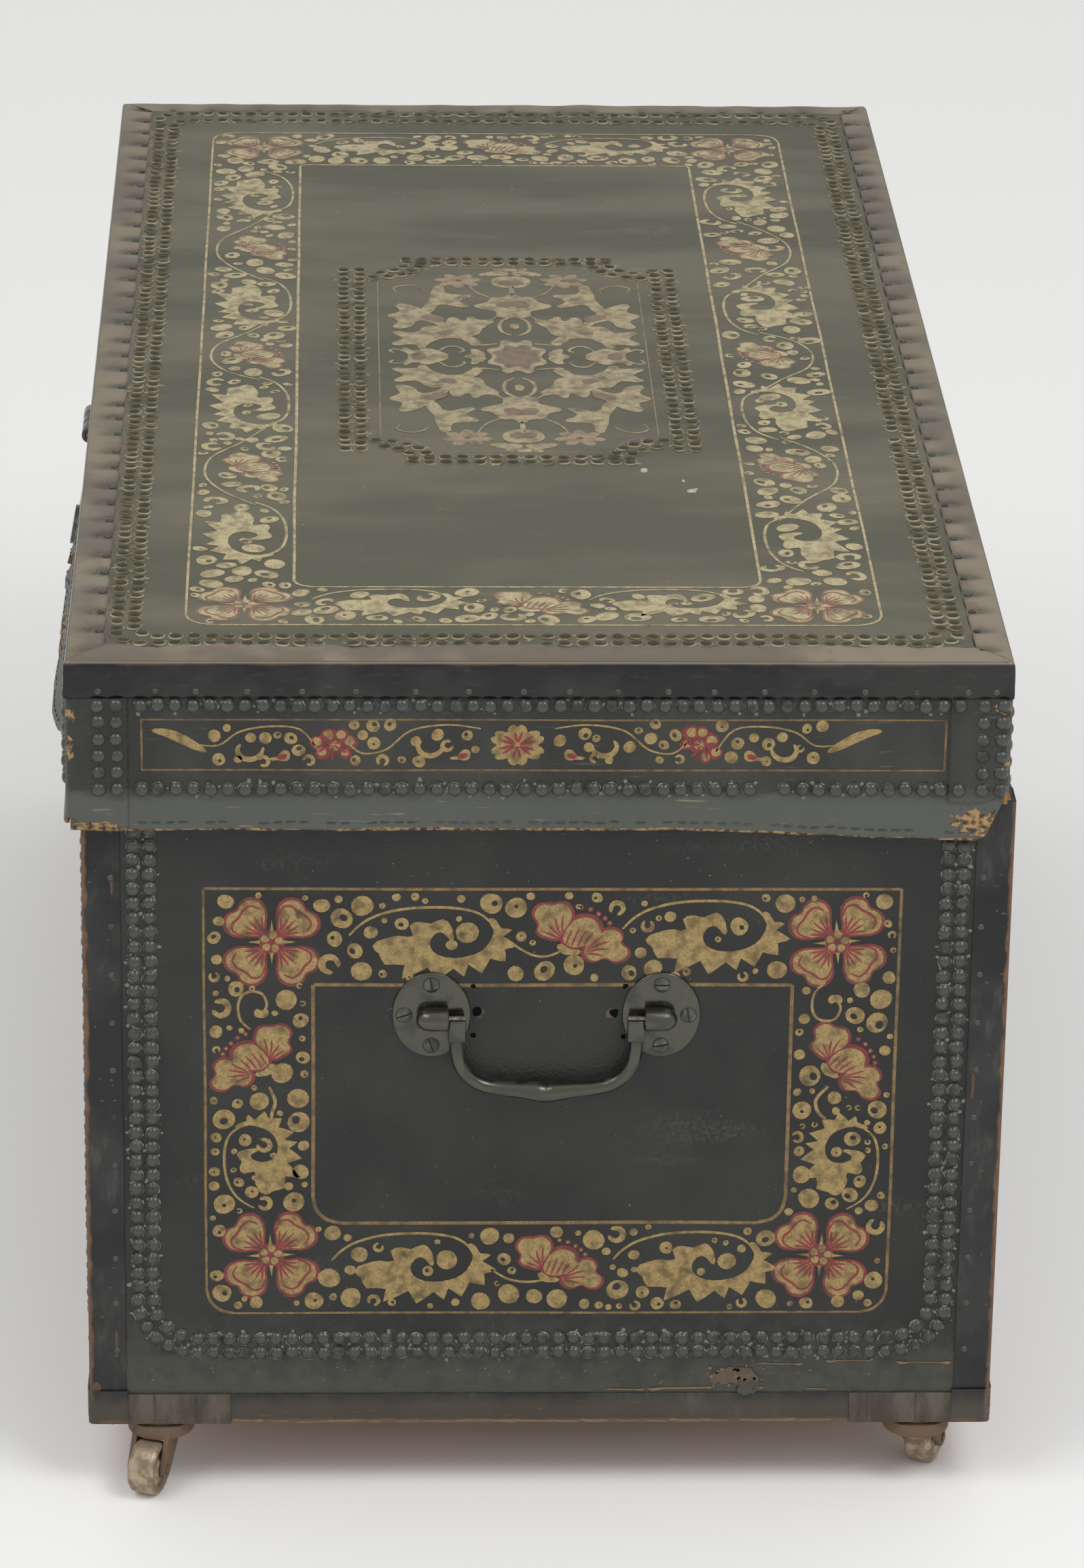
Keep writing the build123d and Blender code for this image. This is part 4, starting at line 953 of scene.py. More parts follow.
def wrap_corner(corner, bottoms, seed, push):
    """One wrap; `bottoms` are the heights of its two wings and `push` moves out the wing past the corner."""
    def place(across, up):
        along = (across - 0.5) * 2 * WRAP_WING
        bottom = bottoms[0] if along < 0 else bottoms[1]
        bottom += 6.5 * math.exp(-((along / 6.5) ** 2)) + ragged(along * 3, seed, 0.6)
        height = bottom + up * (BAND_TOP - 1 - bottom)
        lift = 0.1 + 0.25 * noise.noise(Vector((along * 0.08, height * 0.06, seed)))
        if push and along > 0:
            lift += push(length - along, height) * eased(along / 12)
        return wrap_point(corner, along, height, lift)

    return facing(bent(34, 18, place), Vector((corner[2], corner[3], 0)))


WRAP_STANDOFF = 0.8 * MM
reach_x = (lid_ends[1] + WRAP_STANDOFF) / MM
front_reach = -(lid_box[0].y - WRAP_STANDOFF) / MM
back_reach = (lid_box[1].y + WRAP_STANDOFF) / MM
wraps = bmesh.new()
for corner, bottoms, seed, push in (
    ((reach_x, front_reach, 1, -1), (APRON, APRON), 31, front_push),
    ((reach_x, back_reach, 1, 1), (347, 345.5), 32, None),
    ((reach_x, front_reach, -1, -1), (APRON, APRON), 33, None),
    ((reach_x, back_reach, -1, 1), (APRON, 345.5), 34, None),
):
    wraps.from_mesh(as_mesh(wrap_corner(corner, bottoms, seed, push), "wrap"))
wrap_piece = piece(
    "lid_corner_wrap_leather", wraps, "lid", [worn_band, raw_leather], ["lid_corner_wraps"], "painted_leather"
)
thicken(wrap_piece, STRIP_HIDE, rim=1)
print("corners wrapped")

# %% [markdown]
# ## Softened metal and bindings
# Real sheet metal and leather have no knife-sharp edges: each edge is a tiny round that catches the light.
# An engineering piece arrives as loose triangles, so a copy is first merged back into whole faces, and
# only then can its sharp edges be bevelled. The copy stands for the engineering piece in the picture.

# %% Soften a copy of an engineering piece
def softened(node, width, finish, slot):
    """A copy of one engineering piece with its sharp edges rounded by `width` millimetres."""
    shape = bmesh.new()
    shape.from_mesh(nodes[node].data)
    bmesh.ops.remove_doubles(shape, verts=shape.verts[:], dist=0.00002)
    bmesh.ops.dissolve_limit(shape, angle_limit=math.radians(1.0), verts=shape.verts[:], edges=shape.edges[:])
    joined = [edge for edge in shape.edges if len(edge.link_faces) == 2]
    crisp = [edge for edge in joined if edge.calc_face_angle(0) > math.radians(32)]
    bmesh.ops.bevel(
        shape, geom=crisp, offset=width * MM, offset_type="OFFSET", affect="EDGES",
        segments=2, profile=0.5, material=-1, clamp_overlap=True,
    )
    made = piece(node + "_softened", shape, nodes[node]["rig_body"], [finish], [node], slot)
    made.data.set_sharp_from_angle(angle=math.radians(40))


cap_leather = leather(
    "base_cap_leather", swatch(60, 54, 46), swatch(96, 87, 74), swatch(124, 112, 94),
    grain=1.2, grain_depth=0.3, gloss=0.66, streak=(0.6, 0.16, 0.5), dust=0.6,
)
for node, width_mm, finish, slot in (
    ("corner_bindings", 0.6, case_binding, "japanned_sheet"),
    ("base_bindings", 0.25, case_binding, "japanned_sheet"),
    ("base_corner_caps", 0.25, cap_leather, "worn_leather"),
    ("lock_plate", 0.35, hinge_brass, "lock_brass"), ("hasp", 0.6, bronze, "dark_bronze"),
    ("hasp_leaf", 0.4, bronze, "dark_bronze"), ("hasp_staple", 0.5, steel, "pin_steel"),
    ("case_hinge_leaves", 0.3, hinge_brass, "lock_brass"),
    ("lid_hinge_leaves", 0.3, hinge_brass, "lock_brass"), ("near_front_fork", 0.8, iron, "caster_iron"),
    ("near_back_fork", 0.8, iron, "caster_iron"), ("far_front_fork", 0.8, iron, "caster_iron"),
    ("far_back_fork", 0.8, iron, "caster_iron"),
):
    softened(node, width_mm, finish, slot)
print("edges softened")

# %% [markdown]
# At the very bottom the upright binding still covers the corner, in front of the grey patch that mends the
# base. It is worn to a ragged slant there. Each foot is the same kind of bent grid as the lid's wraps.

# %% Feet of the corner bindings
FOOT_WING, FOOT_TOP, FOOT_STANDOFF = 19.5, 19.0, 0.7


def corner_foot(sign_x, sign_y, bite):
    """The foot of one corner binding; `bite` is how far it is worn away at the corner itself."""
    corner = (case[1].x / MM + FOOT_STANDOFF, case_half_width / MM + FOOT_STANDOFF, sign_x, sign_y)

    def place(across, up):
        along = (across - 0.5) * 2 * FOOT_WING
        fray = 0.5 * noise.noise(Vector((along * 0.4, bite, 0)))
        bottom = 0.3 + bite * max(0.0, 1 - abs(along) / 8) ** 1.4 + fray
        height = bottom + up * (FOOT_TOP - bottom)
        return wrap_point(corner, along, height, 0.2) + Vector((0, case_middle_y, 0))

    return facing(bent(24, 8, place), Vector((sign_x, sign_y, 0)))


feet = bmesh.new()
for sign_x in (1, -1):
    for sign_y in (1, -1):
        feet.from_mesh(as_mesh(corner_foot(sign_x, sign_y, dice.uniform(4, 7)), "foot"))
thicken(piece("corner_binding_feet", feet, "case", [case_binding, raw_leather], (), "japanned_sheet"), 0.7)
cap_seams = bmesh.new()
seam = spun([(0, -8.4), (0.22, -8.0), (0.22, 8.0), (0, 8.4)], 5, "seam")
upright = Matrix.Rotation(math.pi / 2, 4, "X")
cap_sides = four_sides("cap", "case", case[1].x + 0.6 * MM, case[0].x - 0.6 * MM, case[0].y, case[1].y)
for side in (cap_sides["near"], cap_sides["far"]):
    for x in (31.8, 52, side.width - 60.5, side.width - 41):
        put(cap_seams, seam, side.at(x + dice.uniform(-3, 3), 8.6) @ upright)
piece("cap_seams", cap_seams, "case", [case_binding])
print("corner feet and seams in place")

# %% [markdown]
# ## Drop handles
# A handle hangs from two oval plates. Each plate carries a bullet-shaped knuckle, made by spinning half of
# its outline. The handle itself is a bent bar: a curve through a few points whose radius swells in the
# middle, where the hand takes it. Its ends are small square blocks on pins.

# %% Plates and knuckles
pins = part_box("near_bail_pins")
HANDLE_X, HANDLE_Y, HANDLE_Z = ((low_end + high_end) / 2 / MM for low_end, high_end in zip(*pins))
PLATE_FACE = near[1].x / MM
PLATE_THICKNESS = 1.5
PLATE_REACH, PLATE_RISE = 19.5, 23.0
KNUCKLE_START = 48.9
bullet = spun(
    [(0, -0.2), (5.4, -0.2), (6.0, 0.4), (6.0, 9.0), (5.5, 12.2), (4.0, 14.6), (2.0, 15.8), (0, 16.2)],
    24, "bullet",
)


def oval_plate():
    shape = bmesh.new()
    bmesh.ops.create_circle(shape, cap_ends=True, segments=48, radius=1.0)
    for vert in shape.verts:
        vert.co = Vector((vert.co.x * PLATE_REACH, vert.co.y * PLATE_RISE, 0))
    raise_faces(shape, shape.faces[:], PLATE_THICKNESS)
    rim = [edge for edge in shape.edges if all(vert.co.z > PLATE_THICKNESS - 0.1 for vert in edge.verts)]
    bmesh.ops.bevel(shape, geom=rim, offset=0.9, affect="EDGES", segments=3, profile=0.5, material=-1)
    bmesh.ops.recalc_face_normals(shape, faces=shape.faces[:])
    return as_mesh(shape, "oval_plate")


def slotted_head():
    """A screw head: a low dome with a slot sunk across it."""
    shape = bmesh.new()
    shape.from_mesh(spun([(3.8, -0.4), (3.8, 0.15), (3.2, 0.5), (1.8, 0.68), (0, 0.75)], 20, "screw_dome"))
    for offset in (-0.45, 0.45):
        whole = shape.verts[:] + shape.edges[:] + shape.faces[:]
        bmesh.ops.bisect_plane(shape, geom=whole, plane_co=(0, offset, 0), plane_no=(0, 1, 0))
    slot = [face for face in shape.faces if abs(face.calc_center_median().y) < 0.4 and face.normal.z > 0.5]
    raise_faces(shape, slot, -0.7)
    bmesh.ops.delete(shape, geom=slot, context="FACES")
    return as_mesh(shape, "slotted_head")


plate_mesh, screw_mesh = oval_plate(), slotted_head()
# A thin near-black disc under each screw head stands for the dark gap round it: painted shade.
countersink = spun([(4.35, -0.1), (4.3, 0.05), (0, 0.06)], 20, "countersink")
for face in countersink.polygons:
    face.material_index = 1
plate_shape, screw_shape = bmesh.new(), bmesh.new()
PLATE_OFFSET = 114.5 / 2
for way in (1, -1):
    outward = Matrix(((0, 0, way), (way, 0, 0), (0, 1, 0))).to_4x4()
    for side in (1, -1):
        y = HANDLE_Y + PLATE_OFFSET * side
        put(plate_shape, plate_mesh, placed(PLATE_FACE * way, y, HANDLE_Z) @ outward)
        lie = placed(HANDLE_X * way, HANDLE_Y + KNUCKLE_START * side, HANDLE_Z)
        put(plate_shape, bullet, lie @ Matrix.Rotation(-math.pi / 2 * side, 4, "X"))
        for (across, up), slot_turn in (((0, 16.5), 140), ((13.5 * side, 0), 60), ((0, -16.5), 150)):
            spot = placed((PLATE_FACE + PLATE_THICKNESS) * way, y + across, HANDLE_Z + up)
            driven = Matrix.Rotation(math.radians(slot_turn + 40 * side), 4, "Z")
            for mesh in (screw_mesh, countersink):
                put(screw_shape, mesh, spot @ outward @ driven)
for name, shape, finishes, node, slot in (
    ("handle_plates_dressed", plate_shape, [bronze], "handle_plates", "dark_bronze"),
    ("handle_screw_heads", screw_shape, [screw_steel, case_binding], "handle_screws", "pin_steel"),
):
    piece(name, shape, "case", finishes, [node], slot).data.set_sharp_from_angle(angle=math.radians(40))
print("plates and screws in place")


# %% Smooth curves turned into meshes
def from_curve(name, routes, closed, **settings):
    """The mesh of a smooth curve through each route's points, which are (x, y, z, thickness)."""
    curve = bpy.data.curves.new(name, "CURVE")
    for key, value in settings.items():
        setattr(curve, key, value)
    for route in routes:
        spline = curve.splines.new("BEZIER")
        spline.bezier_points.add(len(route) - 1)
        for point, (*place, radius) in zip(spline.bezier_points, route):
            point.co, point.radius = place, radius
            point.handle_left_type = point.handle_right_type = "AUTO"
        spline.use_cyclic_u = closed
    holder = bpy.data.objects.new(name, curve)
    mesh = bpy.data.meshes.new_from_object(holder)
    bpy.data.objects.remove(holder)
    return mesh


# %% The bent bar
def bent_bar():
    """The bar of a handle as a tube, in millimetres, hanging below the origin in the YZ plane."""
    half = [(44.5, -7, 3.5), (44.5, -17, 3.5), (41.6, -27.5, 3.5), (33.5, -35.0, 3.5)]
    half += [(24, -37.6, 3.6), (13, -38.6, 4.3), (4, -39.6, 5.2)]
    route = half + [(0, -40.2, 4.9)] + [(-y, z, r) for y, z, r in reversed(half)]
    return from_curve(
        "bent_bar", [[(0, *point) for point in route]], False,
        dimensions="3D", bevel_depth=1.0, bevel_resolution=4, resolution_u=6, use_fill_caps=True,
    )


def rounded_block(width, depth, height, edge):
    shape = bmesh.new()
    bmesh.ops.create_cube(shape, size=1.0)
    bmesh.ops.scale(shape, vec=(width, depth, height), verts=shape.verts[:])
    bmesh.ops.bevel(
        shape, geom=shape.edges[:], offset=edge, affect="EDGES", segments=3, profile=0.5, material=-1,
    )
    return as_mesh(shape, "rounded_block")


bar, block = bent_bar(), rounded_block(7.8, 8.6, 11.6, 1.0)
for body, way in (("near_bail", 1), ("far_bail", -1)):
    shape = bmesh.new()
    place = placed(HANDLE_X * way, HANDLE_Y, HANDLE_Z)
    put(shape, bar, place)
    for side in (1, -1):
        put(shape, block, place @ Matrix.Translation((0, 44.5 * side, -5.4)))
    handle = piece(body + "_bar", shape, body, [bronze], [body], "dark_bronze")
    handle.data.set_sharp_from_angle(angle=math.radians(50))
print("handles bent")

# %% [markdown]
# ## Casters
# The rollers are turned brass with a hollow on each side and worn, rounded treads: one closed outline,
# spun all the way round. Each stands at its fork's own angle, as the trunk was last pushed.

# %% Rollers
HALF_ROLLER = [(2.45, 7), (5.2, 7), (5.8, 5.6), (9.2, 5.2), (10.4, 6.7), (12.4, 7), (13.6, 5.9), (14, 4)]
outline = [(reach, -height) for reach, height in HALF_ROLLER] + HALF_ROLLER[::-1]
roller = spun(outline + outline[:1], 40, "roller")
SWINGS = {"near_front": -20, "near_back": 158, "far_front": 200, "far_back": 22}
for corner, swing in SWINGS.items():
    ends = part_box(corner + "_wheel")
    middle = (ends[0] + ends[1]) / 2 / MM
    lie = Matrix.Rotation(math.radians(swing), 4, "Z") @ Matrix.Rotation(math.pi / 2, 4, "X")
    shape = bmesh.new()
    put(shape, roller, placed(*middle) @ lie)
    body = corner + "_wheel"
    wheel = piece(corner + "_roller", shape, body, [roller_brass], [body], "wheel_brass")
    wheel.data.set_sharp_from_angle(angle=math.radians(50))
print("rollers turned")

# %% [markdown]
# ## Painted ornament
# The painter laid red where the petals would be, gold over it, and then drew the veins in red again. The
# shapes have crisp edges, so they are made as very thin solids that lie on the leather, in the same order
# as the brush laid them, and not as a pattern in the leather's own finish. A filled shape is a closed curve
# through a few points, a brush stroke is a flat grid that is bent along a path and narrows towards its ends.

# %% Paint finishes
def paint(name, fresh, browned, ground, wear, gloss=0.42):
    """Old paint: browned in patches, and worn through to the leather's colour in others."""
    finish = Finish(name)
    colour = finish.mix(finish.ramp(finish.cloud(6, 5), 0.4, 0.72), fresh, browned)
    colour = finish.mix(finish.ramp(finish.cloud(1.1, 3, (1, 1, 1), 2.2), 0.4, 0.7) * 0.6, colour, browned)
    lost = finish.ramp(finish.cloud(9, 6, (1, 1, 1), 6.1), 0.72 - wear * 0.2, 0.8)
    lost = lost + finish.ramp(finish.cloud(1.2, 4, (1, 1, 1), 8.8), 0.7 - wear * 0.1, 0.76) * 0.5
    colour = finish.mix(finish.ramp(lost, 0.0, 1.0, smooth=False) * 0.85, colour, ground)
    normal = finish.bump(finish.cells(1.5), 0.08)
    return finish.done(Base_Color=colour, Roughness=gloss + lost * 0.15, Normal=normal)


COATS = {"red_under": "red_paint", "gold": "gold_paint", "red": "red_line_paint"}
# The lid's ground is its leather colour, lighter from dust and from painted light.
side_ground, lid_ground_dust_and_painted_light = swatch(40, 42, 38), swatch(78, 76, 58)


def paint_box(prefix, ground, gloss, rows):
    """The three coats of one side, in the order in which they are laid, from (fresh, browned, wear) rows."""
    box = {}
    for (coat, name), (fresh, browned, wear) in zip(COATS.items(), rows):
        box[coat] = paint(prefix + name, swatch(*fresh), swatch(*browned), ground, wear, gloss)
    return box


side_paints = paint_box("", side_ground, 0.42, (
    ((128, 45, 46), (88, 37, 37), 0.6), ((162, 138, 86), (104, 84, 47), 0.7),
    ((140, 44, 48), (104, 38, 40), 0.5),
))
lid_paints = paint_box("faded_", lid_ground_dust_and_painted_light, 0.5, (
    ((142, 98, 80), (106, 84, 66), 1.1), ((186, 172, 132), (128, 116, 84), 1.0),
    ((136, 84, 70), (108, 80, 66), 1.0),
))
medallion_paints = paint_box("medallion_", lid_ground_dust_and_painted_light, 0.5, (
    ((154, 134, 108), (122, 102, 80), 1.3), ((170, 156, 120), (120, 107, 79), 1.3),
    ((124, 102, 84), (104, 88, 72), 1.3),
))
line_paint = paint("border_line_paint", swatch(136, 108, 62), swatch(88, 70, 42), side_ground, 1.0)
band_line_paint = paint("band_line_paint", swatch(134, 102, 56), swatch(84, 68, 44), swatch(52, 54, 48), 1.5)
# How high each coat lies above the leather, and how thick it is, in millimetres.
LEVELS = {"red_under": 0.05, "gold": 0.11, "red": 0.19}
COAT = 0.05


# %% Filled shapes and brush strokes
def filled(outlines, steps=3):
    """A thin solid inside closed smooth outlines. An outline that lies inside another is a hole."""
    routes = [[(x, y, 0, 1) for x, y in outline] for outline in outlines]
    mesh = from_curve(
        "paint_outline", routes, True,
        dimensions="2D", fill_mode="BOTH", resolution_u=steps, extrude=COAT / 2,
    )
    shape = bmesh.new()
    shape.from_mesh(mesh)
    bmesh.ops.remove_doubles(shape, verts=shape.verts[:], dist=0.001)
    bmesh.ops.recalc_face_normals(shape, faces=shape.faces[:])
    shape.to_mesh(mesh)
    shape.free()
    return mesh


def smooth_path(points, steps):
    """A smooth open line through the points (a Catmull-Rom spline)."""
    ends = [points[0], *points, points[-1]]
    path = []
    for a, b, c, d in zip(ends, ends[1:], ends[2:], ends[3:]):
        a, b, c, d = (Vector((*p, 0)) for p in (a, b, c, d))
        for step in range(steps):
            t = step / steps
            spot = 2 * b + (c - a) * t
            spot = spot + (2 * a - 5 * b + 4 * c - d) * t**2
            spot = spot + (3 * b - a - 3 * c + d) * t**3
            path.append(0.5 * spot)
    path.append(Vector((*points[-1], 0)))
    return path


def stroke(points, wide, tip, steps):
    """A brush stroke: full width in the middle, `tip` of it at both ends."""
    path = smooth_path(points, steps)
    last = len(path) - 1
    shape = bmesh.new()
    bmesh.ops.create_grid(shape, x_segments=last, y_segments=1, size=0.5)
    for vert in shape.verts:
        index = round((vert.co.x + 0.5) * last)
        along = (path[min(last, index + 1)] - path[max(0, index - 1)]).normalized()
        share = tip + (1 - tip) * math.sin(math.pi * (index / last)) ** 0.6
        side = Vector((-along.y, along.x, 0)) * (wide * share * math.copysign(0.5, vert.co.y))
        vert.co = path[index] + side - Vector((0, 0, COAT / 2))
    raise_faces(shape, shape.faces[:], COAT)
    bmesh.ops.recalc_face_normals(shape, faces=shape.faces[:])
    return as_mesh(shape, "brush_stroke")


def scaled(outline, factor, centre):
    return [(centre[0] + (x - centre[0]) * factor, centre[1] + (y - centre[1]) * factor) for x, y in outline]


def turned(outline, degrees):
    cos, sin = math.cos(math.radians(degrees)), math.sin(math.radians(degrees))
    return [(x * cos - y * sin, x * sin + y * cos) for x, y in outline]


def ring(radius, sides, wobble=0.0, centre=(0, 0)):
    points = []
    for index in range(sides):
        reach = radius * (1 + dice.uniform(-wobble, wobble))
        angle = math.tau * index / sides
        points.append((centre[0] + reach * math.cos(angle), centre[1] + reach * math.sin(angle)))
    return points


# %% [markdown]
# The whole border is built from a handful of motifs that the painter repeated: a four-petalled flower for
# the corners, a curled leaf with a vine springing over it, a three-petalled peony seen from the side, a
# small curl, and round berries that fill every gap. Each motif is drawn once, in millimetres about its own
# middle, as a list of (colour, shape), with the circles that it takes up.

# %% The corner flower
def corner_flower():
    petal = [(5, 0), (9, 5.4), (15, 11.4), (21, 12.6), (26, 9.2), (27.2, 4.4), (25.6, 0)]
    petal += [(x, -y) for x, y in reversed(petal[1:-1])]
    parts = []
    for quarter in range(4):
        angle = 45 + 90 * quarter
        parts.append(("red_under", filled([turned(petal, angle)])))
        parts.append(("gold", filled([turned(scaled(petal, 0.87, (16, 0)), angle)])))
        edge = [(12, 7.5), (17.5, 9.6), (21.2, 7.2), (21.4, 2.5), (22.6, -2.5), (21.5, -7), (17, -8.5)]
        parts.append(("red", stroke(turned(edge, angle), 1.3, 0.5, 3)))
        for spread, reach in ((-6.2, 14), (-3.4, 16.5), (0, 17.5), (3.4, 16), (6.2, 13.5)):
            vein = [(6.5, spread * 0.15), (10.5, spread * 0.6), (reach, spread * 1.05)]
            parts.append(("red", stroke(turned(vein, angle), 1.15, 0.12, 2)))
        spike = [(6.0, 1.0), (12.5, 0.0), (6.0, -1.0)]
        parts.append(("gold", filled([turned(spike, 90 * quarter)], 1)))
    parts.append(("red_under", filled([ring(6.8, 8)])))
    dab = [(1.6, 0), (3.6, 1.9), (5.4, 1.5), (5.5, -1.5), (3.6, -1.9)]
    for part in range(5):
        parts.append(("gold", filled([turned(dab, 72 * part + 10)], 2)))
    return parts, [(0, 0, 24)] + [(*point, 9.0) for point in turned(ring(18, 4), 45)]


# %% The curled leaf with its vine
LEAF_OUTLINE = [
    (-34.9, 2.1), (-28.8, 6.2), (-21.2, 7.9), (-14.4, 7.9), (-16.2, 13.4), (-10.7, 15.6), (-5.5, 14.5),
    (0.7, 17.1), (4.4, 14.0), (5.8, 9.6), (5.5, 4.8), (3.0, 7.1), (-0.7, 9.9), (-5.2, 6.2), (-5.5, 1.4),
    (-2.1, -2.5), (5.5, -4.4), (13.7, -3.4), (20.5, -0.3), (24.9, 5.5), (26.3, 11.0), (24.0, 17.5),
    (27.5, 16.5), (30.1, 12.0), (35.6, 11.0), (31.2, 7.5), (38.6, 2.5), (32.2, 0.3), (32.5, -6.5),
    (24.7, -4.8), (20.5, -13.0), (13.7, -8.2), (11.6, -14.8), (6.2, -10.3), (-2.7, -17.1), (-6.8, -9.6),
    (-19.9, -16.0), (-18.5, -8.5), (-28.5, -8.2), (-31.5, -2.1),
]
VINE_OVER_LEAF = [
    (-46.6, 8.0), (-41, 14), (-32.9, 18.9), (-19.2, 22.6), (-1.4, 23.6), (12.3, 22.3), (20, 19.5), (25, 15),
]


def curled_leaf():
    parts = [("gold", filled([LEAF_OUTLINE], 2)), ("gold", stroke(VINE_OVER_LEAF, 1.5, 0.7, 4))]
    taken = [(-25, 0, 8), (-16, -4, 8), (-9, 11, 6), (0, 12, 6), (-2, -10, 7), (9, -8, 7), (18, -6, 7)]
    taken += [(27, -2, 7), (30, 8, 6), (-12, 3, 6)]
    taken += [(point.x, point.y, 1.0) for point in smooth_path(VINE_OVER_LEAF, 4)]
    return parts, taken


# %% The peony
def peony():
    petals = (
        [(-10.3, -4), (-16.7, -3.4), (-22.1, 0), (-21.3, 4.3), (-24.1, 9.8), (-20.7, 15.7), (-14.4, 16),
         (-7.8, 16.9), (-3.7, 12.6), (-3.4, 7.5), (-6.9, 1.7)],
        [(1.7, -8.6), (8, -2.9), (12.6, 2), (18.4, 2.3), (22.1, -2.3), (21.4, -5.7), (25.3, -9.8),
         (24.1, -14.9), (18.4, -16.9), (12.9, -14.6), (6.9, -16.7), (1.7, -13.2)],
        [(-9.2, -5.7), (-7.8, 1.7), (-2.9, 8.6), (4, 10), (9.8, 6.9), (11.5, 2.9), (10.9, -2.9),
         (6.3, -6.9), (0.6, -8.6), (-5.7, -8.6)],
    )
    parts = []
    for petal in petals:
        middle = [sum(part) / len(petal) for part in zip(*petal)]
        parts.append(("red_under", filled([scaled(petal, 1.05, middle)])))
        parts.append(("gold", filled([scaled(petal, 0.9, middle)])))
    sepal = [(-10.9, -6.5), (-10.3, -10.5), (-4.6, -12.6), (0.6, -10.6), (-4.6, -9.4)]
    parts.append(("gold", filled([sepal])))
    veins = (
        ((-9, -3), (-13, 1), (-16, 4)), ((-9, -2.5), (-11.5, 3), (-12.5, 8)),
        ((-8.5, -2), (-9, 4), (-8.5, 10)), ((-9.5, -3.2), (-14, -1.5), (-18, 0.2)),
        ((-7, -7), (-5.8, -3), (-4, 1.5)), ((-4, -7.6), (-2.5, -3), (0, 3)),
        ((-1, -8), (0.5, -4), (3.5, 1.5)), ((2, -7.6), (4, -4), (7, 0)), ((3, -9.5), (8, -5), (12, -1.5)),
        ((3, -10), (9, -7), (15, -5)), ((3, -10.6), (9, -9.5), (15.5, -9)),
        ((3, -11.4), (8, -12), (12.5, -13.2)),
    )
    for vein in veins:
        parts.append(("red", stroke(vein, 1.05, 0.12, 3)))
    parts.append(("red", stroke([(-7.2, 2), (-2.5, 7.4), (4, 8.6), (9, 5.8), (10.4, 1)], 0.8, 0.6, 3)))
    for x, y in ((0.5, 14), (5.2, 12.8), (9.4, 10.2), (12.6, 7.8), (15, 5)):
        parts.append(("red_under", filled([ring(1.5, 5, 0.1, (x, y))], 2)))
        parts.append(("gold", filled([ring(0.8, 5, 0.1, (x, y))], 1)))
    return parts, [(-14, 7, 12), (0, 0, 11), (14, -8, 12), (7, 10, 5)]


# %% The curl, the bud and the berries
def curl():
    path = [(-1, -11.5), (-6.2, -6.2), (-7.5, 2.1), (-5.2, 8.3), (0, 10.4), (5.2, 8.9), (7.6, 3.1), (6, -1)]
    blob = [(1, -3), (2.4, 0.5), (4.6, -0.6), (7.2, 0.6), (8, -3.4), (4.4, -4.8)]
    return [("gold", stroke(path, 1.5, 0.7, 3)), ("gold", filled([blob]))], [(0, 0, 9)]


def bud():
    drop = [(-8, -2), (-3, -0.6), (0, 3.2), (4, 3.4), (5.2, -0.4), (3, -3.4), (-2, -2.8)]
    heart = [(-3, -1.4), (0.5, 1.2), (3.2, 0.6), (2.2, -1.8)]
    return [("gold", filled([drop], 2)), ("red", filled([heart], 2))], [(0, 0, 5)]


def berry_shapes():
    """Berries are dabs of gold, some with a hole or a crescent of dark ground left in them."""
    shapes = []
    for _ in range(3):
        shapes.append(filled([ring(1.0, 7, 0.07)], 2))
    for reach, hole in ((0.12, 0.22), (0.25, 0.3), (0.3, 0.42), (0.15, 0.36)):
        shapes.append(filled([ring(1.0, 7, 0.06), ring(hole, 4, 0.15, (reach, -reach * 0.6))], 2))
    crescent = [(0.9, 0.3), (0.3, 0.95), (-0.6, 0.8), (-1, 0), (-0.6, -0.8), (0.3, -0.95), (0.85, -0.4)]
    crescent += [(0.1, -0.45), (-0.35, 0), (0.1, 0.5)]
    shapes.append(filled([crescent], 2))
    return shapes


MOTIFS = {"flower": corner_flower(), "leaf": curled_leaf(), "peony": peony(), "curl": curl(), "bud": bud()}
BERRIES = berry_shapes()
print("motifs:", {name: len(parts) for name, (parts, _) in MOTIFS.items()})


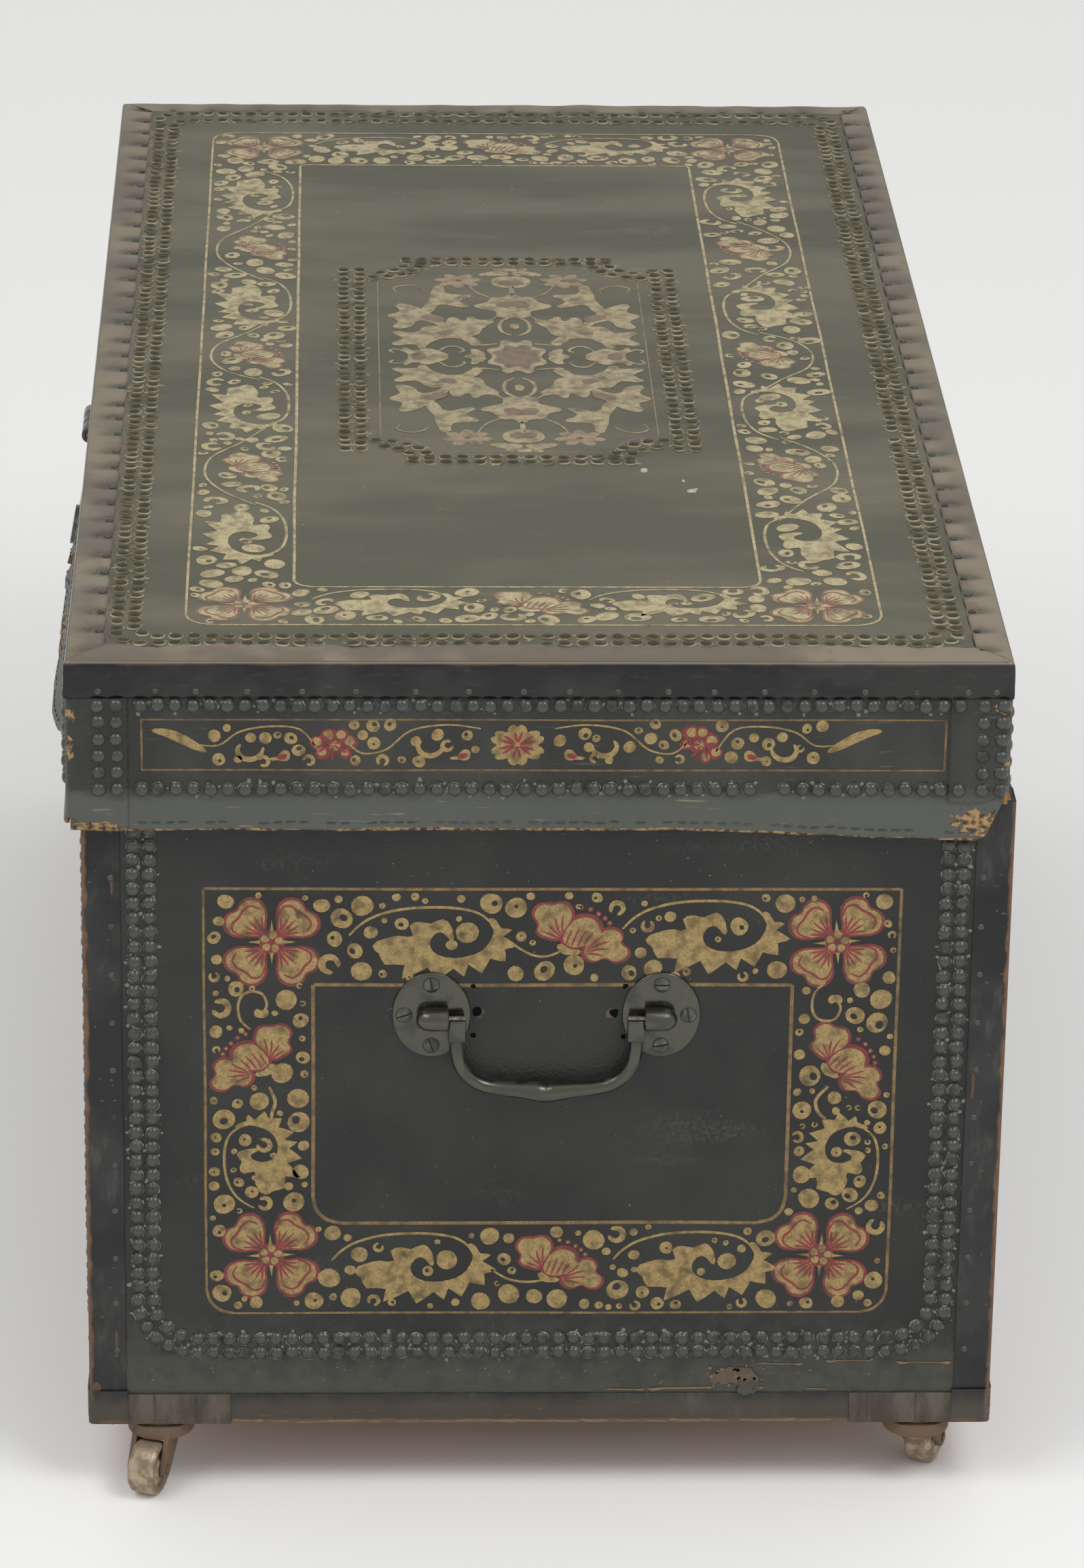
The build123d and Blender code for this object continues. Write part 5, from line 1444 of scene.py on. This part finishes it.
# %% Painting: what is laid on one side
class Painting:
    """Collects painted shapes for one side, apart by colour, and knows which places are taken."""

    def __init__(self, side, paints, lift=0.0):
        self.side, self.paints, self.lift = side, paints, lift
        self.coats = {colour: bmesh.new() for colour in paints}
        self.taken = []
        self.laid = 0

    def lay(self, colour, mesh, matrix):
        """Each shape lies a hair higher than the last, so that no two overlapping ones share a plane."""
        self.laid += 1
        lift = Matrix.Translation((0, 0, LEVELS[colour] + self.lift + self.laid % 7 * 0.009))
        put(self.coats[colour], mesh, self.side.matrix @ lift @ matrix)

    def motif(self, name, x, y, angle=0.0, size=1.0, flipped=False, stretch=1.0):
        parts, taken = MOTIFS[name]
        matrix = Matrix.Translation((x, y, 0)) @ Matrix.Diagonal((-1 if flipped else 1, 1, 1, 1))
        matrix = matrix @ Matrix.Rotation(math.radians(angle), 4, "Z")
        matrix = matrix @ Matrix.Diagonal((size * stretch, size, 1, 1))
        for colour, mesh in parts:
            self.lay(colour, mesh, matrix)
        for circle_x, circle_y, radius in taken:
            spot = matrix @ Vector((circle_x, circle_y, 0))
            self.taken.append((spot.x, spot.y, radius * size * min(1, stretch)))

    def line(self, points, wide, tip=0.7, steps=4):
        """A gold brush line that the berries keep clear of."""
        self.lay("gold", stroke(points, wide, tip, steps), Matrix.Identity(4))
        self.taken += [(point.x, point.y, wide / 2 + 0.3) for point in smooth_path(points, steps)]

    def berries(self, areas, sizes, tries, gap=1.1, squash=1.0):
        """Fills the free places of each area with berries, the largest first, with so many tries for each."""
        laid = 0
        for across, up in areas:
            for radius in (size for size in sizes for _ in range(tries)):
                x, y = dice.uniform(*across), dice.uniform(*up)
                room = min((math.hypot(x - tx, y - ty) - tr for tx, ty, tr in self.taken), default=99)
                if room < radius + gap:
                    continue
                place = Matrix.Translation((x, y, 0)) @ Matrix.Rotation(dice.uniform(0, math.tau), 4, "Z")
                squeeze = Matrix.Diagonal((radius * dice.uniform(0.88, 1.0), radius * squash, 1, 1))
                self.lay("gold", dice.choice(BERRIES), place @ squeeze)
                self.taken.append((x, y, radius))
                laid += 1
        return laid

    def done(self, label="paint"):
        for colour, shape in self.coats.items():
            name = f"{self.side.name}_{colour}_{label}"
            if len(shape.faces):
                piece(name, shape, self.side.body, [self.paints[colour]], (), "painted_leather", False)
            else:
                shape.free()


def ruled(side, finish, strokes):
    """One piece of border lines, from (points, width, tip, steps) for each line."""
    lines = Painting(side, {"gold": finish}, -0.02)
    for points, wide, tip, steps in strokes:
        lines.line(points, wide, tip, steps)
    piece(f"{side.name}_border_lines", lines.coats["gold"], side.body, [finish], (), "painted_leather", False)


def framed(left, bottom, right, top, low_radius, high_radius=0.0, wander=0.25):
    """Four brush lines round a rectangle, with rounded lower corners, as lists of points."""
    def along(start, end):
        count = max(2, round(math.dist(start, end) / 60))
        points = []
        for index in range(count + 1):
            t = index / count
            points.append(tuple(a + (b - a) * t + dice.uniform(-wander, wander) for a, b in zip(start, end)))
        return points

    def arc(x, y, radius, begin):
        angles = [math.radians(begin + part) for part in (0, 30, 60, 90)]
        return [(x + radius * math.cos(angle), y + radius * math.sin(angle)) for angle in angles]

    r, h = low_radius, high_radius
    lines = [along((left, bottom + r), (left, top - h)), along((left + h, top), (right - h, top))]
    lines += [along((right, top - h), (right, bottom + r)), along((left + r, bottom), (right - r, bottom))]
    if r:
        lines += [arc(left + r, bottom + r, r, 180), arc(right - r, bottom + r, r, 270)]
    if h:
        lines += [arc(left + h, top - h, h, 90), arc(right - h, top - h, h, 0)]
    return lines


def fence(painting, lines):
    """Keeps berries off the border lines."""
    for points in lines:
        path = smooth_path(points, 12)
        painting.taken += [(point.x, point.y, 0.6) for point in path]


# %% [markdown]
# On each end the border runs round a bare middle where the handle hangs. The motifs keep the same order
# on every side: flower, leaf, peony, leaf, flower. The long sides repeat it more often. Only the near end
# was drawn motif by motif from the real one; the others follow the same scheme.

# %% The border on the ends
BORDER_ROUND = 14


def paint_end(side):
    painting = Painting(side, side_paints)
    for x, y, angle in ((93.5, 269.3, 0), (373.9, 269.3, 4), (92.6, 95.9, 2), (370.8, 95.4, -2)):
        painting.motif("flower", x, y, angle, 0.97)
    for x, y in ((177.5, 265.0), (312.8, 268.5), (168.9, 85.0), (311.4, 85.5)):
        painting.motif("leaf", x, y, 0, 0.98)
    painting.motif("peony", 246.0, 274.5, 0, 0.98)
    painting.motif("peony", 238.0, 91.5, 0, 0.9)
    painting.motif("peony", 83.5, 206.5, -12, 0.92, True)
    painting.motif("peony", 380.5, 204.5, -24, 0.92)
    painting.motif("leaf", 92.0, 152.0, 90, 0.96, stretch=0.66)
    painting.motif("leaf", 375.5, 151.0, 90, 0.96, True, 0.66)
    painting.motif("curl", 83.8, 232.5, 0, 0.95)
    painting.motif("curl", 369.5, 236.0, 180, 0.95, True)
    painting.line([(213, 268), (222, 262.5), (230, 261.6), (238, 265)], 1.3)
    painting.line([(204, 87.5), (213, 82), (223, 80.5), (232, 82)], 1.3)
    painting.line([(92, 190), (95, 182), (93.5, 176), (93, 172)], 1.8)
    painting.line([(372, 190), (366, 183), (367, 176), (371, 172)], 1.8)
    outer = framed(60, 63, 405, 298, BORDER_ROUND)
    inner = framed(114, 114, 352, 246, BORDER_ROUND)
    fence(painting, outer + inner)
    strokes = [(points, dice.uniform(1.2, 1.7), 0.9, 3) for points in outer]
    strokes += [(points, 1.9, 0.95, 3) for points in inner]
    areas = (
        ((62, 403), (248, 296)), ((62, 403), (65, 112)), ((62, 112), (112, 250)), ((354, 403), (112, 250)),
    )
    laid = painting.berries(areas, (5.6, 4.9, 4.2, 3.5, 2.9, 2.2, 1.6), 420)
    painting.done()
    ruled(side, line_paint, strokes)
    return laid


print("berries on the ends:", paint_end(case_sides["near"]), paint_end(case_sides["far"]))


# %% The border on the long sides
def paint_long(side):
    painting = Painting(side, side_paints)
    left, right, bottom, top = 60, side.width - 55, 63, 298
    for x in (left + 33, right - 33):
        for y in (top - 29, bottom + 32):
            painting.motif("flower", x, y, dice.uniform(-4, 4), 0.97)
    span, pairs = right - left - 132, 4
    for index in range(pairs):
        x = left + 66 + span * (index + 0.5) / pairs
        for y in (top - 32, bottom + 22):
            painting.motif("leaf", x - 34, y, 0, 0.92)
            painting.motif("peony", x + 42, y + 8, 0, 0.9)
    for x, flip in ((left + 33, False), (right - 33, True)):
        painting.motif("peony", x - 3, 206, -14, 0.92, not flip)
        painting.motif("leaf", x, 152, 90, 0.96, flip, 0.66)
    outer = framed(left, bottom, right, top, BORDER_ROUND)
    inner = framed(left + 54, bottom + 51, right - 54, top - 52, BORDER_ROUND)
    fence(painting, outer + inner)
    areas = (
        ((left + 2, right - 2), (top - 50, top - 2)), ((left + 2, right - 2), (bottom + 2, bottom + 49)),
        ((left + 2, left + 52), (112, 250)), ((right - 52, right - 2), (112, 250)),
    )
    laid = painting.berries(areas, (5.6, 4.6, 3.6, 2.6, 1.8), 520)
    painting.done()
    ruled(side, line_paint, [(points, 1.7, 0.9, 2) for points in outer + inner])
    return laid


print("berries on the long sides:", paint_long(case_sides["front"]), paint_long(case_sides["back"]))

# %% [markdown]
# ## The lid's top
# The lid has the same border, faded by light and dusting, and in its middle a medallion: a symmetrical
# spray of gold leaves round a rosette, inside a frame of nails with hollowed corners. Symmetry halves the
# work, because every leaf is laid once and once more in the mirror.

# %% The medallion's spray, as one quarter of it
LEAVES = (
    [(-22, -18), (-29, -29), (-39, -31), (-47, -24), (-53, -14), (-56, -20), (-69, -20), (-63, -31),
     (-68, -42), (-56, -41), (-49, -52), (-39, -50), (-29, -41)],
    [(-39, -48), (-45, -57), (-53, -61), (-58, -51), (-67, -48), (-65, -61), (-71, -71), (-64, -77),
     (-65, -91), (-57, -88), (-48, -76), (-40, -61)],
    [(-49, -74), (-45, -78), (-40, -90), (-33, -87), (-25, -85), (-30, -96), (-23, -106), (-31, -108),
     (-37, -110), (-41, -125), (-45, -116), (-47, -98)],
    [(-37, -48), (-29, -35), (-22, -36), (-18, -48), (-12, -64), (-19, -63), (-25, -69), (-28, -61),
     (-34, -68), (-38, -60)],
    [(-38, 0), (-43, -9), (-50, -14), (-57, -10), (-62, -15), (-60, -3), (-60, 0)],
    [(-29, 0), (-25, -5), (-25, -13), (-20, -10), (-18, 0)],
    [(0, -67), (-9, -69), (-10, -78), (-15, -81), (-22, -88), (-15, -94), (-11, -103), (-5, -104),
     (0, -110)],
    [(0, -121), (-6, -121), (-11, -128), (-8, -139), (0, -140)],
    [(-1, -144), (-9, -142), (-18, -143), (-12, -149), (-3, -150)],
    [(0, -150), (-4, -151), (-4, -154), (0, -155)], [(-5, -151), (-9, -151), (-10, -154), (-6, -155)],
)
STEMS = (
    ([(-9, -70), (-20, -52)], 1.6), ([(-24, -124), (-20, -112), (-12, -102)], 1.2),
    ([(0, -108), (0, -124)], 3.0), ([(-49, -115), (-55, -123), (-62, -124), (-67, -119), (-65, -111)], 1.3),
    ([(-10, -22), (-22, -20), (-30, -30)], 2.0),
    ([(-43, -9), (-38, -17), (-32, -16), (-29, -10), (-32, -7)], 1.8),
    ([(-60, -6), (-66, -12), (-70, -10), (-68, -6)], 1.8),
    ([(-2, -67), (-6.5, -62), (-8.5, -52), (-7, -42), (-2, -36)], 2.2),
    ([(-30, -98), (-42, -90), (-50, -76)], 1.2),
)
BLUSHES = (
    [(-40, -60), (-47, -62), (-52, -70), (-45, -72)], [(-36, -46), (-40, -44), (-44, -40), (-36, -38)],
    [(0, -88), (-8, -86), (-9, -92), (0, -96)], [(0, -126), (-7, -127), (-6, -132), (0, -133)],
    [(-50, 0), (-54, -6), (-58, 0)],
)
SPRAY = [("gold", filled([outline], 3)) for outline in LEAVES]
SPRAY += [("gold", stroke(points, wide, 0.5, 4)) for points, wide in STEMS]
SPRAY += [("red", filled([outline], 3)) for outline in BLUSHES]
for lean in range(-60, 241, 50):
    petal = turned([(1.5, 0), (8, 3.6), (14, 0), (8, -3.6)], lean)
    SPRAY.append(("red_under", filled([[(px - 30, py * 0.95 - 133) for px, py in petal]], 2)))
scallops = [(17.5 if index % 2 else 13.5, index * math.tau / 16) for index in range(16)]
scallops = [(reach * math.cos(angle), reach * 1.75 * math.sin(angle)) for reach, angle in scallops]
ROSETTE = [("gold", filled([scallops])), ("red", filled([[(px * 0.8, py * 0.68) for px, py in scallops]]))]
ROSETTE.append(("gold", filled([ring(1.8, 6)])))
for way in (1, -1):
    ROSETTE.append(("gold", filled([[(px, py * 2 + way * 52) for px, py in ring(2.6, 6)]])))
MEDALLION = (225.0, 447.0)


# %% Paint the lid's top
def paint_lid_top():
    painting = Painting(lid_field, lid_paints)
    for x, y in ((80, 69), (364, 67.5), (82, 836), (364, 836)):
        painting.motif("flower", x, y, dice.uniform(-3, 3), 0.96)
    for y in (68, 836):
        painting.motif("leaf", 156, y, 0, 0.92)
        painting.motif("leaf", 294, y, 0, 0.92)
        painting.motif("peony", 226, y + 3, 0, 0.95)
    leaves = (165, 362, 535, 737)
    for y in leaves:
        painting.motif("leaf", 75, y, -90, 1.06)
        painting.motif("leaf", 369, y, 90, 1.06)
    for y in (268, 450, 640):
        painting.motif("peony", 82, y, -35, 0.9)
        painting.motif("peony", 362, y, 145, 0.9)
    for y, after in zip(leaves, leaves[1:]):
        span = after - y
        path = [(84, y + 45), (66, y + 0.34 * span), (57, y + 0.46 * span), (60, y + 0.6 * span)]
        path.append((76, y + 0.72 * span))
        painting.line(path + [(92, after - 24)], 1.4)
        mirrored = [(445 - x, after + y - py) for x, py in path]
        painting.line(mirrored + [(353, y + 24)], 1.4)
    outer = framed(51, 41, 395, 866, BORDER_ROUND, BORDER_ROUND)
    inner = framed(104, 93, 338, 801, 10, 4)
    fence(painting, outer + inner)
    for lines, wide in ((outer, 1.4), (inner, 1.6)):
        for points in lines:
            painting.lay("gold", stroke(points, wide, 0.9, 2), Matrix.Identity(4))
    areas = (((53, 393), (43, 91)), ((53, 393), (803, 864)), ((53, 102), (93, 801)), ((340, 393), (93, 801)))
    laid = painting.berries(areas, (5.4, 4.4, 3.4, 2.4), 560, 1.0, 1.25)
    painting.done()

    painting = Painting(lid_field, medallion_paints)
    x, y = MEDALLION
    for across in (1, -1):
        for away in (1, -1):
            mirror = Matrix.Translation((x, y, 0)) @ Matrix.Diagonal((-across, -away, 1, 1))
            for colour, mesh in SPRAY:
                painting.lay(colour, mesh, mirror)
    for colour, mesh in ROSETTE:
        painting.lay(colour, mesh, Matrix.Translation((x, y, 0)))
    left, right, bottom, top, notch = 149, 297, 292, 602, 25
    corners = [(left + notch, bottom), (right - notch, bottom), (right, bottom + notch), (right, top - notch)]
    corners += [(right - notch, top), (left + notch, top), (left, top - notch), (left, bottom + notch)]
    for start, end in zip(corners, corners[1:] + corners[:1]):
        bend = 0 if start[0] == end[0] or start[1] == end[1] else 5.0
        inward_x = 1 if (start[0] + end[0]) / 2 < x else -1
        inward_y = 1 if (start[1] + end[1]) / 2 < y else -1
        middle = ((start[0] + end[0]) / 2 + inward_x * bend, (start[1] + end[1]) / 2 + inward_y * bend)
        painting.lay("red_under", stroke([start, middle, end], 0.6, 0.8, 6), Matrix.Identity(4))
    painting.done(label="medallion")
    return laid


print("berries on the lid:", paint_lid_top())


# %% [markdown]
# Round the lid's sides runs a narrow strip: a wavy vine hung with berries, a full flower in the middle and
# a red one on either side, all inside a fine double line.

# %% Paint the lid's sides
def rosebud_motifs():
    """The bloom of five round petals, the long blade, the hooked stem and the small red flower."""
    bloom, veins = [], []
    for index in range(6):
        turn = 60 * index + 30
        petal = [(1, 0), (5, -3.8), (10.5, -4.6), (13.8, -1.8), (12.6, 0), (13.8, 2.2), (10.5, 4.8), (5, 3.8)]
        petal = [(px, py * 0.78) for px, py in turned(petal, turn)]
        bloom.append(("gold", filled([petal])))
        for lean in (-14, 8):
            vein = turned([(1.5, 0), (9.2, 0)], turn + lean)
            veins.append(("red", stroke([(px, py * 0.78) for px, py in vein], 1.5, 0.2, 3)))
    veins.append(("gold", filled([ring(1.5, 6)])))
    blade = [(-13.5, -3.2), (-7, -1.4), (1, 0.8), (8, 1.8), (15, 1.4)]
    hook = [(-5, 4), (-7, 0), (-4, -5), (2, -6), (7, -3), (9, 2)]
    red = []
    blobs = ((-9, 5, 5), (-3, 7, 4.6), (4, 4, 5.2), (9, -2, 4.6), (-2, -1, 5.2), (4, -7, 4.4), (-9, -3, 3.6))
    for px, py, size in blobs:
        red.append(("red_under", filled([[(qx + px, qy + py) for qx, qy in ring(size, 7)]], 2)))
        red.append(("gold", filled([[(qx + px + 0.6, qy + py + 0.5) for qx, qy in ring(size * 0.62, 6)]], 2)))
    for lean in (20, 75, 130, 190, 250, 310):
        red.append(("red", stroke(turned([(1, 0), (6, 0.6), (10, 0)], lean), 1.7, 0.25, 3)))
    return {
        "bloom": (bloom + veins, [(-7, 0, 8), (7, 0, 8)]),
        "blade": ([("gold", stroke(blade, 5.0, 0.06, 4))], [(-6, 0, 4), (5, 1.5, 4)]),
        "hook": ([("gold", stroke(hook, 3.6, 0.25, 3))], [(0, -1, 5)]),
        "redflower": (red, [(0, 0, 12)]),
    }


MOTIFS.update(rosebud_motifs())


SMALL_MOTIFS = ((27, "bud", 372), (43, "hook", 376.5), (115, "bud", 371.5), (131, "hook", 374.5))
VINES = (
    [(18, 386), (34, 388), (52, 385), (64, 375), (76, 373), (84, 380)],
    [(97, 374), (106, 385.5), (122, 387), (136, 384), (146, 377), (160, 378)],
)


def paint_band(side, middles):
    """One strip of vine. `middles` are the places of the full flowers along it."""
    painting = Painting(side, side_paints)
    for middle in middles:
        painting.motif("bloom", middle, 377.3)
        for way in (-1, 1):
            painting.motif("redflower", middle + 90 * way, 377.5, -20 * way, 0.82, way < 0)
            for offset, name, height in SMALL_MOTIFS:
                painting.motif(name, middle + offset * way, height, 0, 0.8, way > 0)
            painting.motif("blade", middle + 164 * way, 380, 14, 1.0, way < 0)
            for vine in VINES:
                painting.line([(middle + x * way, y) for x, y in vine], 1.0)
        spans = ((middle - 150, middle - 20), (middle + 20, middle + 150))
        painting.berries([(span, (368.5, 388.5)) for span in spans], (3.3, 2.7, 2.1), 130, 0.5)
    border = framed(30.5, 364, side.width - 37, 390.5, 0, wander=0.15)
    painting.done()
    ruled(side, band_line_paint, [(points, 1.0, 0.9, 2) for points in border])


paint_band(lid_sides["near"], (213.7,))
paint_band(lid_sides["far"], (246.3,))
for key in ("front", "back"):
    paint_band(lid_sides[key], (230, lid_sides[key].width - 230))
print("lid painted")

# %% [markdown]
# ## Marks of use
# A few hard knocks are worth placing one by one: white chips beside the medallion, old screw holes where an
# earlier handle sat, bare patches on the bindings and a torn flap above the base. A mark is a small ragged
# closed curve, filled as the paint is. The flap is a bent grid with the thickness of leather.

# %% Chips, holes and bare patches
def ragged_spot(reach_x, reach_y, points=9):
    """A closed outline that wanders round an oval."""
    outline = []
    for index in range(points):
        angle, reach = math.tau * index / points, dice.uniform(0.6, 1.1)
        outline.append((reach_x * reach * math.cos(angle), reach_y * reach * math.sin(angle)))
    return filled([outline], 2)


def marks(side, name, finish, spots, lift):
    """One piece of ragged spots, from (x, y, reach across, reach up) for each."""
    shape = bmesh.new()
    for index, (x, y, reach_x, reach_y) in enumerate(spots):
        slender = max(reach_x, reach_y) > 4 * min(reach_x, reach_y)
        place = side.at(x, y, lift + index % 5 * 0.01, dice.uniform(-0.4, 0.4) * (0.05 if slender else 1.0))
        put(shape, ragged_spot(reach_x, reach_y), place)
    piece(f"{side.name}_{name}", shape, side.body, [finish], (), None, False)


def scattered(count, left, right, bottom, top, size):
    """Small spots strewn over a rectangle, for marks()."""
    spots = []
    for _ in range(count):
        x, y = dice.uniform(left, right), dice.uniform(bottom, top)
        spots.append((x, y, size * dice.uniform(0.5, 1.3), size * dice.uniform(0.4, 1)))
    return spots


def plain(name, colour, rough=0.8, shine=0.5):
    finish = Finish(name)
    shade = finish.mix(finish.cloud(2.0, 4), colour, [part * 0.6 for part in colour[:3]] + [1.0])
    return finish.done(Base_Color=shade, Roughness=rough, Specular_IOR_Level=shine)


DUSTY_SHARE = 0.85


def dusted():
    """Pale dust in the corners between the nails, where no cloth reaches."""
    specks = [ragged_spot(1.0, 1.0, 7) for _ in range(12)]
    for side, points in NAILED:
        shape = bmesh.new()
        finish = lid_dust if side is lid_field else side_dust
        for index, (x, y) in enumerate(points):
            if dice.random() > DUSTY_SHARE:
                continue
            angle, size = dice.uniform(0, math.tau), dice.uniform(0.7, 1.7)
            speck_x, speck_y = x + 4.5 * math.cos(angle), y + 4.5 * math.sin(angle)
            spot = side.at(speck_x, speck_y, 0.02 + index % 6 * 0.01, angle)
            put(shape, dice.choice(specks), spot @ Matrix.Diagonal((size, size * 0.7, 1, 1)))
        piece(f"{side.name}_nail_dust", shape, side.body, [finish], (), None, False)


chalk = plain("bare_ground", swatch(196, 188, 160))
# Near-black painted shade for the insides of old holes and cracks.
painted_hole_shade = plain("old_hole", swatch(14, 13, 12), 0.9, 0.1)
side_dust = plain("pale_dust", swatch(132, 134, 122))
lid_dust = plain("lid_dust", swatch(158, 154, 130))
dusted()
grime = plain("pale_grime", swatch(126, 124, 112))
chips = [(286.5, 264.4, 2.0, 4.4), (310.3, 232.9, 2.6, 3.2), (306.6, 248.7, 1.0, 2.0), (312.5, 236, 1.2, 1.6)]
marks(lid_field, "chips", chalk, chips + scattered(26, 60, 400, 60, 800, 0.6), 0.03)
holes = [(193.5, 245.3), (193.7, 218.5), (269.1, 245.2), (268.6, 217.7), (195.6, 231.5), (264.0, 230.8)]
near_side = case_sides["near"]
fibre = leather("torn_fibre", swatch(58, 51, 43), swatch(112, 97, 78), swatch(150, 132, 106), 1.0, 0.6, 0.8)
frayed_tan = plain("frayed_tan", swatch(134, 112, 84))
torn = [(x + way * 1.2, y - 0.6, 3.0, 3.2) for (x, y), way in zip(holes[4:], (1, -1))]
marks(near_side, "torn_round_holes", fibre, torn, 0.03)
# The old holes are near-black spots of painted shade.
dark = [(x, y, 1.5, 1.6) for x, y in holes[:4]] + [(x, y, 2.7, 2.8) for x, y in holes[4:]]
marks(near_side, "old_holes", painted_hole_shade, dark, 0.12)
for side in case_sides.values():
    grit = scattered(40, 30, side.width - 30, 22, 36, 0.55)
    grit += scattered(30, 40, side.width - 40, 300, 330, 0.45)
    for edge in (24.0, side.width - 24.0):
        grit += scattered(30, edge - 4, edge + 14, 30, 330, 0.5)
    marks(side, "grit", grime, grit, 0.04)
binding_side = Side("binding_near", "case", (case[1].x, case[0].y, low), ALONG_Y, UPWARDS, width)
rust = plain("rubbed_tan", swatch(98, 76, 60))
worn_spots = scattered(16, 3, 15, 60, 320, 0.9) + scattered(14, 445, 457, 60, 320, 0.9)
worn_spots += [(14.4, 45, 0.8, 9), (14.8, 300, 0.7, 6), (444.5, 190, 0.7, 8), (458.5, 12, 2.5, 4)]
worn_spots.append((3.5, 20, 2.6, 5))
marks(binding_side, "rubbed_spots", rust, worn_spots, 0.05)
tear = [(326, 26.5, 9, 5.2), (334, 25, 8, 5.6), (338, 21, 4.4, 3.6), (319, 25, 4, 3.4), (331, 30, 9, 2.2)]
marks(near_side, "torn_patch", fibre, tear, 0.35)
# The cracks in the torn patch are near-black spots of painted shade.
marks(near_side, "torn_patch_cracks", painted_hole_shade, scattered(9, 318, 341, 19, 31, 1.3), 0.5)
frayed = [(300, 19.6, 18, 0.6), (272, 18.9, 12, 0.5), (352, 33.5, 12, 0.35), (386, 35.2, 13, 0.3)]
frayed += [(424, 34.2, 15, 0.3), (372, 19.0, 8, 0.4)]
frayed += scattered(14, 316, 344, 19, 33, 1.1)
marks(near_side, "frayed_edges", frayed_tan, frayed, 0.42)
corner_tacks = four_sides("binding", "case", case[1].x, case[0].x, case[0].y, case[1].y)
for side in corner_tacks.values():
    strips, smudges = [], []
    for x in range(82, int(side.width) - 82, 16):
        strips.append((x, 0.9 + dice.uniform(0, 0.7), dice.uniform(5, 12), dice.uniform(0.4, 0.9)))
    marks(side, "rubbed_edge", frayed_tan, strips, 0.05)
    for x in range(82, int(side.width) - 82, 12):
        low_spot = (x + dice.uniform(-9, 9), dice.uniform(3, 13))
        smudges.append((*low_spot, dice.uniform(1, 4), dice.uniform(0.3, 0.8)))
    marks(side, "base_smudges", rust, smudges, 0.05)
    spots = []
    for x in (14.2, side.width - 14.2):
        spots += row((x, 42), (x + dice.uniform(-0.6, 0.6), 330), 26)
    nailed(side, spots, [side_nail, nail_foot], tack_head, -0.1, "binding_tacks")

# What lies on the loose front band moves out with it.
LAID_ON_BAND = ("_nails", "_nail_dust", "_paint", "_border_lines")
for made in list(bpy.data.objects):
    if made.name.startswith("lid_front_") and made.name.endswith(LAID_ON_BAND):
        lay_on(made, lid_sides["front"], front_push, 0.0 if made.name.endswith("_nails") else 0.16)
        print("laid on the loose front band:", made.name)
print("nails in all:", sum(len(points) for _, points in NAILED))


def torn_flap(left, right, bottom, top, curl):
    """The strip of leather that has lifted at its lower end and curls outwards."""
    def place(across, up):
        wander = 1.6 * noise.noise(Vector((across * 4, up * 3, 2)))
        x = left + across * (right - left) + wander
        y = bottom + up * (top - bottom) + 2.2 * noise.noise(Vector((across * 5, 7, up)))
        lift = 0.2 + curl * (1 - up) ** 1.8 * (0.5 + 0.5 * math.sin(across * 5))
        return near_side.matrix @ Vector((x, y, lift))

    flap = piece("torn_flap", bent(14, 8, place), "case", [body_leather, raw_leather])
    thicken(flap, 1.1, 0, 1)


torn_flap(331, 341, 17.0, 24, 2.6)
print("marks of use placed")

# %% [markdown]
# ## Floor and light
# The trunk stands on a plain pale floor under soft studio light. Most of the light comes from all round,
# so that colours look as they were mixed, and one broad lamp overhead gives the nails their glints.

# %% Stage and lamps
def stage_floor():
    shape = bmesh.new()
    bmesh.ops.create_grid(shape, x_segments=8, y_segments=8, size=9.0)
    floor = bpy.data.objects.new("studio_floor", as_mesh(shape, "studio_floor"))
    bpy.context.scene.collection.objects.link(floor)
    finish = Finish("studio_floor_paper")
    floor.data.materials.append(finish.done(Base_Color=swatch(250, 250, 250), Roughness=0.9))


def lamp(name, place, aim, size, power):
    """A broad soft lamp at a place, turned towards a point."""
    light = bpy.data.lights.new(name, "AREA")
    light.shape = "RECTANGLE"
    light.size, light.size_y = size
    light.energy = power
    made = bpy.data.objects.new(name, light)
    bpy.context.scene.collection.objects.link(made)
    direction = Vector(aim) - Vector(place)
    made.matrix_world = Matrix.Translation(place) @ direction.to_track_quat("-Z", "Y").to_matrix().to_4x4()


stage_floor()
lamp("left_softbox", (1.4, -1.5, 2.5), (0.2, 0, 0.3), (1.6, 1.2), 16.0)
lamp("right_softbox", (1.6, 1.3, 2.6), (0.2, 0, 0.3), (1.2, 1.2), 24.0)
world = bpy.data.worlds.new("studio")
bpy.context.scene.world = world
world.use_nodes = True
sky = world.node_tree.nodes["Background"].inputs
sky["Color"].default_value = (1.0, 0.995, 0.985, 1.0)
sky["Strength"].default_value = 0.72
bpy.context.scene.view_settings.view_transform = "Standard"
